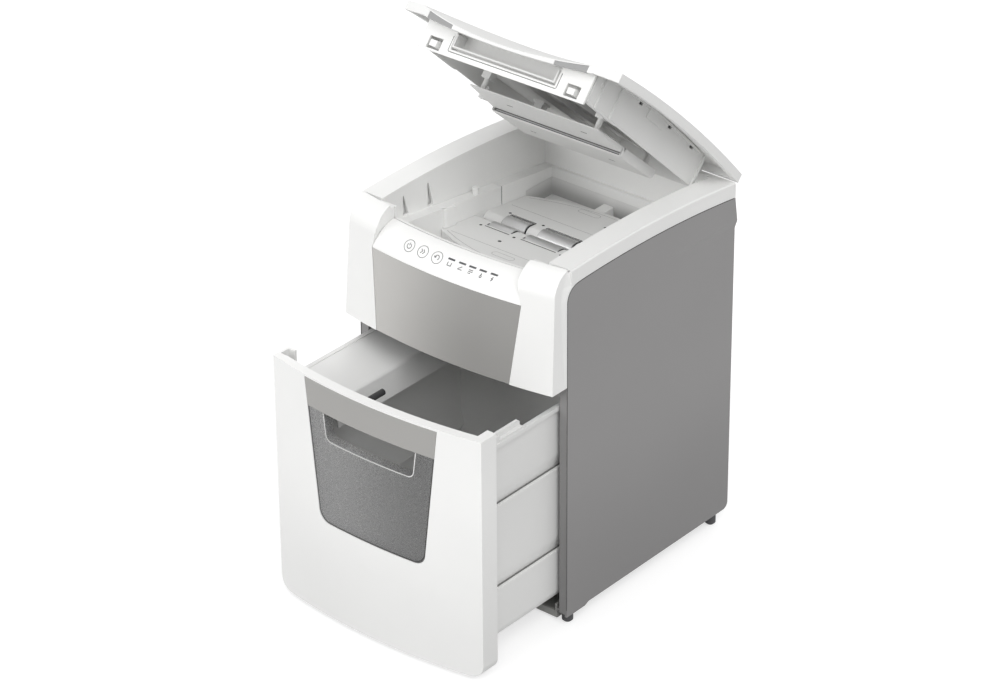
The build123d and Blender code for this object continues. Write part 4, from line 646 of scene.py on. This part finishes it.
sign_strokes = (
    (bar(-2.0, 1.8, -2.0, -1.8, 0.7), bar(2.0, -1.8, 2.0, 1.8, 0.7), bar(-2.3, -1.5, 2.3, -1.5, 0.7)),
    (bar(-2.4, -1.4, 2.4, -1.4, 0.7), bar(-2.2, -1.0, 1.6, 1.8, 0.7)),
    (bar(-2.4, 1.6, 2.4, 1.6, 0.7), bar(-2.4, 0.0, 2.4, 0.0, 0.7), bar(-2.4, -1.6, 0.6, -1.6, 0.7)),
    (arc((0.0, -1.1), 1.0, 90, 450, 0.7), bar(0.0, -0.1, 0.0, 2.0, 1.0)),
    (bar(0.9, 2.0, -1.0, 0.0, 0.8), bar(-1.0, 0.2, 1.0, -0.1, 0.8), bar(1.0, 0.1, -0.9, -2.0, 0.8)),
)
state_signs = [1.3 * flat + (x, -2.9) for x, strokes in zip(state_places, sign_strokes) for flat in strokes]
sign_print = finish("sign_print", (0.30, 0.30, 0.31), roughness=(0.4, 0.5))
lamp_lens = finish("lamp_lens", (0.32, 0.32, 0.33), roughness=(0.15, 0.25))
fit(grid_object("key_signs", *(on_visor(flat) for flat in key_signs + state_signs), thickness=0.00005),
    sign_print, "cabinet")
fit(grid_object("state_lamps", *(on_visor(flat) for flat in state_bars), thickness=0.00012),
    lamp_lens, "cabinet")

# Drawer: a light grey bin behind a white bowed front, with a grey grip band over a smoked window.
# The pins on its left corner and behind its lip close the drawer switch.
bin_grey = finish("bin_moulding", (0.90, 0.90, 0.895), roughness=(0.42, 0.52))
dress(bin_grey, "waste_bin")
# Painted shade: the white drawer front darkens towards its bottom edge, to 0.86 of its white at the floor.
drawer_painted_shade = paint_light_fade(finish("drawer_moulding", (0.955, 0.955, 0.95), roughness=(0.38, 0.46)),
                      "Z", (0.0, 0.86), (0.24, 1.0))
dress(drawer_painted_shade, "drawer_front")
dress(front_grey, "handle_band")
dress(black_plastic, "drawer_pins", "switch_pin")
window_smoke_painted_light = finish("window_smoke_painted_light", (0.72, 0.72, 0.72), roughness=(0.22, 0.32), shade=0.01, depth=0.000004)
# Painted light: the smoked window is lighter at its left end and darker towards the right, down to 0.62 of
# its grey.
window_smoke_painted_light = paint_light_fade(window_smoke_painted_light, "X", (-0.09, 1.0), (0.09, 0.62))
window_shader = window_smoke_painted_light.node_tree.nodes["Principled BSDF"]
window_shader.inputs["Transmission Weight"].default_value = 0.55
window_shader.inputs["IOR"].default_value = 1.3
dress(window_smoke_painted_light, "drawer_window")
ease(0.0012, "drawer_front")
ease(0.0006, "handle_band", "waste_bin")


def deflector():
    """Sloped flap along the bin's left rim: a bent section carried along the depth of the bin.

    The section leaves the rim, falls by 12 mm over 62 mm, turns down through a fold of 4 mm and ends in a
    flange.
    """
    turn = np.linspace(0.06 * np.pi, 0.46 * np.pi, 7)
    fold = np.stack([-81.0 + 4.0 * np.sin(turn), 285.4 + 4.0 * np.cos(turn)], axis=-1)
    section = np.concatenate([[[-142.0, 301.4], [-139.0, 300.6]], fold, [[-72.0, 256.0]]])
    return carried_back(section, np.linspace(-300.5, -0.5, 9))


def side_bar():
    """Bar along the bin's right rim: a stepped section carried to the rear, its ends closed to their middle.

    Towards the rear end the height over the rim falls along a quarter circle of 4 mm.
    """
    section = np.array([[137.4, 297.0], [146.2, 297.0], [146.2, 305.6], [141.2, 305.6], [141.2, 312.4],
                        [137.4, 312.4], [137.4, 297.0]])
    turn = np.linspace(0, 0.5 * np.pi, 9)
    along = np.concatenate([[-266.0], -228.0 + 4.0 * np.sin(turn)])
    fall = np.concatenate([[0.0], 4.0 - 4.0 * np.cos(turn)])
    points = carried_back(section, along).swapaxes(0, 1)
    points[..., 2] -= np.where(section[None, :, 1] > 306.0, fall[:, None], 0.0) / 1000
    front, rear = points[0], points[-1]
    ends = [np.stack([edge, edge * (0, 1, 0) + (0.1412, 0, 0.301)]) for edge in (front, rear)]
    return points, ends[0][::-1], ends[1]


def window_line(low, half, lean, corner, width):
    """Line on the window: down one side from the band, round the two lower corners and up the other side.

    The half width grows by lean times the height over the low side, and the line is laid on the bowed face,
    a cylinder of 807.3 mm radius.
    """
    face_radius, face_axis_y = 807.3, 476.7
    turn = np.linspace(0, 0.5 * np.pi, 9)
    z = np.concatenate([np.linspace(288.2, low + corner + 1.4, 12), low + corner - corner * np.sin(turn)])
    x = half + lean * (z - low) - np.concatenate([np.zeros(12), corner - corner * np.cos(turn)])
    floor = np.linspace(x[-1] - 3.0, -x[-1] + 3.0, 25)
    path = np.concatenate([np.stack([x, z], axis=-1), np.stack([floor, np.full(25, low)], axis=-1),
                           np.stack([-x, z], axis=-1)[::-1]])
    flat = stroke(path, width)
    y = face_axis_y - np.sqrt(face_radius ** 2 - flat[..., 0] ** 2)
    return np.stack([flat[..., 0], y, flat[..., 1]], axis=-1) / 1000


def ledge_line(z):
    """Shadow line in the corner over a ledge of the bin's right wall: a flat strip along its depth."""
    y = np.linspace(-316.0, -8.0, 9)
    edges = [np.stack([np.full(9, x), y, np.full(9, z + 0.25)], axis=-1) for x in (139.7, 137.1)]
    return np.stack(edges, axis=1) / 1000


ledge_shade = finish("ledge_shade", (0.42, 0.42, 0.415), roughness=(0.7, 0.8))
fit(grid_object("bin_flap", deflector(), thickness=-0.0018), bin_grey, "drawer")
fit(grid_object("side_bar", *side_bar()), bin_grey, "drawer")
fit(grid_object("window_edge", window_line(139.6, 80.15, 0.11, 15.0, 1.5)),
    joint_shade, "drawer")
fit(grid_object("finger_rim", window_line(253.0, 67.0, 0.126, 8.0, 1.2)),
    bin_grey, "drawer")
fit(grid_object("bin_ledges", ledge_line(216.0), ledge_line(102.0)),
    ledge_shade, "drawer")

# Lid: a white arched cover on a light inner frame, with a white fascia, a finger cup and two latch hooks.
# The pressure plate hangs from the frame on four sprung posts.
lid_grey = finish("lid_frame_moulding", (0.88, 0.88, 0.875), roughness=(0.45, 0.55))
cover_white = finish("cover_moulding", (0.94, 0.94, 0.935), roughness=(0.55, 0.65), specular=0.2)
dress(cover_white, "lid_cover")
dress(front_white, "lid_fascia", "latch_bar")
dress(lid_grey, "lid_frame", "plate_guides", "lid_handle", "pressure_plate", "plate_posts")
seal_grey = finish("seal_rubber", (0.62, 0.62, 0.62), roughness=(0.6, 0.75))
dress(seal_grey, "seal_strips")
ease(0.0015, "lid_cover")
ease(0.0008, "lid_fascia", "lid_handle")
ease(0.0005, "lid_frame")


def raised(points):
    """Points of the closed lid, millimetres, turned up by 41 degrees about the hinge line at the rear."""
    hinge_y, hinge_z, up = 164.0, 476.0, radians(41)
    y, z = points[..., 1] - hinge_y, points[..., 2] - hinge_z
    return np.stack([points[..., 0], hinge_y + y * cos(up) + z * sin(up),
                     hinge_z - y * sin(up) + z * cos(up)], axis=-1) / 1000


fascia_y = -147.0


def cup_path(x, low, corner):
    """U round the finger cup: down one side, round a quarter circle, along the bottom and up the other."""
    turn = np.linspace(0, 0.5 * np.pi, 8)
    bend = np.stack([corner - x - corner * np.cos(turn), low + corner - corner * np.sin(turn)], axis=-1)
    path = np.concatenate([[[-x, 473.6], [-x, 466.0]], bend])
    return np.concatenate([path, (path * (-1, 1))[::-1]])


def cup_bead():
    """Half-round bead round the finger cup's opening: a half circle of 1.2 mm carried along the U."""
    bead_radius = 1.2
    path = cup_path(79.3, 455.9, 1.6)
    swing = np.linspace(0, np.pi, 9)
    flat = path[:, None, :] - bead_radius * np.cos(swing)[None, :, None] * sideways(path)[:, None, :]
    y = np.broadcast_to(fascia_y - bead_radius * np.sin(swing), flat.shape[:2])
    return np.stack([flat[..., 0], y, flat[..., 1]], axis=-1)


def cup_gap():
    """Joint outside the bead: a line of 0.7 mm along a wider U, flat on the front of the fascia."""
    flat = stroke(cup_path(81.1, 454.2, 2.2), 0.7)
    return np.stack([flat[..., 0], np.full(flat.shape[:2], fascia_y - 0.06), flat[..., 1]], axis=-1)


def frame_lip(side):
    """Rolled lower edge of a side wall of the frame: a circle carried along it, rounded off at both ends."""
    full_radius, wall_x, front_y, length = 2.0, 121.0, -142.0, 80.0
    along, swing = np.meshgrid(np.linspace(0, 1, 25), np.linspace(0, 2 * np.pi, 13), indexing="ij")
    radius = full_radius * np.sqrt(1.0 - np.abs(2 * along - 1) ** 8)
    y = front_y + length * along
    x = side * wall_x + radius * np.cos(swing)
    z = 448.4 - 0.035 * y + radius * np.sin(swing)
    return np.stack([x, y, z], axis=-1)


def wall_strip(side):
    """Raised strip along the top of a side wall of the frame: a bent section carried along the arch."""
    y = np.linspace(-112.0, 118.0, 47)
    z = crown(y)[:, None] + np.array([28.4, 28.2, 25.9, 25.3])
    x = side * np.array([123.9, 124.3, 124.3, 121.9])
    points = np.stack([np.broadcast_to(x, z.shape), np.broadcast_to(y[:, None], z.shape), z], axis=-1)
    return points if side < 0 else points[:, ::-1]


fit(grid_object("wall_strips", raised(wall_strip(-1)), raised(wall_strip(1))),
    lid_grey, "lid")
fit(grid_object("cup_bead", raised(cup_bead())), front_white, "lid")
fit(grid_object("cup_gap", raised(cup_gap())), joint_shade, "lid")
fit(grid_object("frame_lips", raised(frame_lip(-1)), raised(frame_lip(1))),
    lid_grey, "lid")
tray_rim = 441.0
tray_ys = (-57.0, 3.0, 4.0, 90.0)


def tray_section():
    """Side view of the pressure tray: a ramp, a deep slot over a level plate's nose, and a turned-up rear."""
    return np.array([(-57.0, tray_rim), (-57.0, 440.0), (-56.0, 439.0), (-25.0, 436.0), (2.2, 433.4),
                     (3.0, 433.6), (3.4, 434.2), (12.0, 434.2), (12.0, 430.4), (5.4, 430.3), (4.6, 429.6),
                     (5.0, 428.8), (6.2, 428.5), (40.0, 428.5), (84.0, 428.5), (87.5, 429.4), (89.4, 431.5),
                     (90.0, 436.0), (90.0, tray_rim)])


def tray():
    """Tray that presses the stack down: its side view carried across the plate, with upright side walls."""
    section = tray_section()
    x = np.array([-97.0, -97.0, -96.6, -95.6, -50.0, 0.0, 50.0, 95.6, 96.6, 97.0, 97.0])
    rise = np.array([1.0, 0.12, 0.04, 0.0, 0.0, 0.0, 0.0, 0.0, 0.04, 0.12, 1.0])
    z = section[None, :, 1] + rise[:, None] * (tray_rim - section[None, :, 1])
    return np.stack([np.broadcast_to(x[:, None], z.shape), np.broadcast_to(section[None, :, 0], z.shape), z],
                    axis=-1)[:, ::-1]


def post(x, y):
    """Turned post of the tray: a stepped radius about its axis, from a foot in the tray to a head on top."""
    shank, flange, under_head, head = 3.5, 5.0, 473.2, 475.2
    foot = np.interp(y, tray_ys, [tray_rim, 434.6, 430.0, 430.0])
    radius = np.array([0.0, flange, flange, shank, shank, flange, flange, 0.0])
    height = np.array([foot, foot, foot + 1.6, foot + 2.0, under_head, under_head, head, head])
    turn = np.linspace(0, 2 * np.pi, 25)
    return np.stack([x + radius[:, None] * np.cos(turn), y + radius[:, None] * np.sin(turn),
                     np.broadcast_to(height[:, None], (8, 25))], axis=-1)[:, ::-1]


def under_tray(flat):
    """Points just under the tray, from plan points; the height follows the ramp and then the level plate."""
    z = np.interp(flat[..., 1], tray_ys, [439.0, 433.3, 428.4, 428.4]) - 0.08
    return np.concatenate([flat, z[..., None]], axis=-1)


def slot_strip(y, low, high):
    """Upright strip across the tray's slot, at one depth and between two heights."""
    x = np.linspace(-94.0, 94.0, 9)
    edges = [np.stack([x, np.full(9, y), np.full(9, z)], axis=-1) for z in (low, high)]
    return np.stack(edges, axis=1)


post_places = [(x, y) for x in (-86.0, 86.0) for y in (-45.0, 78.0)]
slit_places = ((-52.0, -28.0), (60.0, -28.0), (-60.0, 50.0), (60.0, 50.0))
slits = [under_tray(straight(x - 4.5, x + 4.5, y, 1.6))[:, ::-1] for x, y in slit_places]
slits += [slot_strip(7.9, low, low + 0.9) for low in (433.2, 430.5)]
slot_shade = finish("slot_shade", (0.66, 0.66, 0.66), roughness=(0.6, 0.7))
tray_skin = grid_object("pressure_tray", raised(tray()), thickness=-0.0012)
posts = grid_object("tray_posts", *(raised(post(x, y)) for x, y in post_places))
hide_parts("pressure_plate")
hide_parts("plate_posts")
fit(tray_skin, lid_grey, "plate")
fit(posts, lid_grey, "plate")
fit(grid_object("tray_slot", raised(slot_strip(8.0, 430.5, 434.1))), slot_shade, "plate")
fit(grid_object("tray_slits", *(raised(slit) for slit in slits), thickness=0.00005),
    joint_shade, "plate")
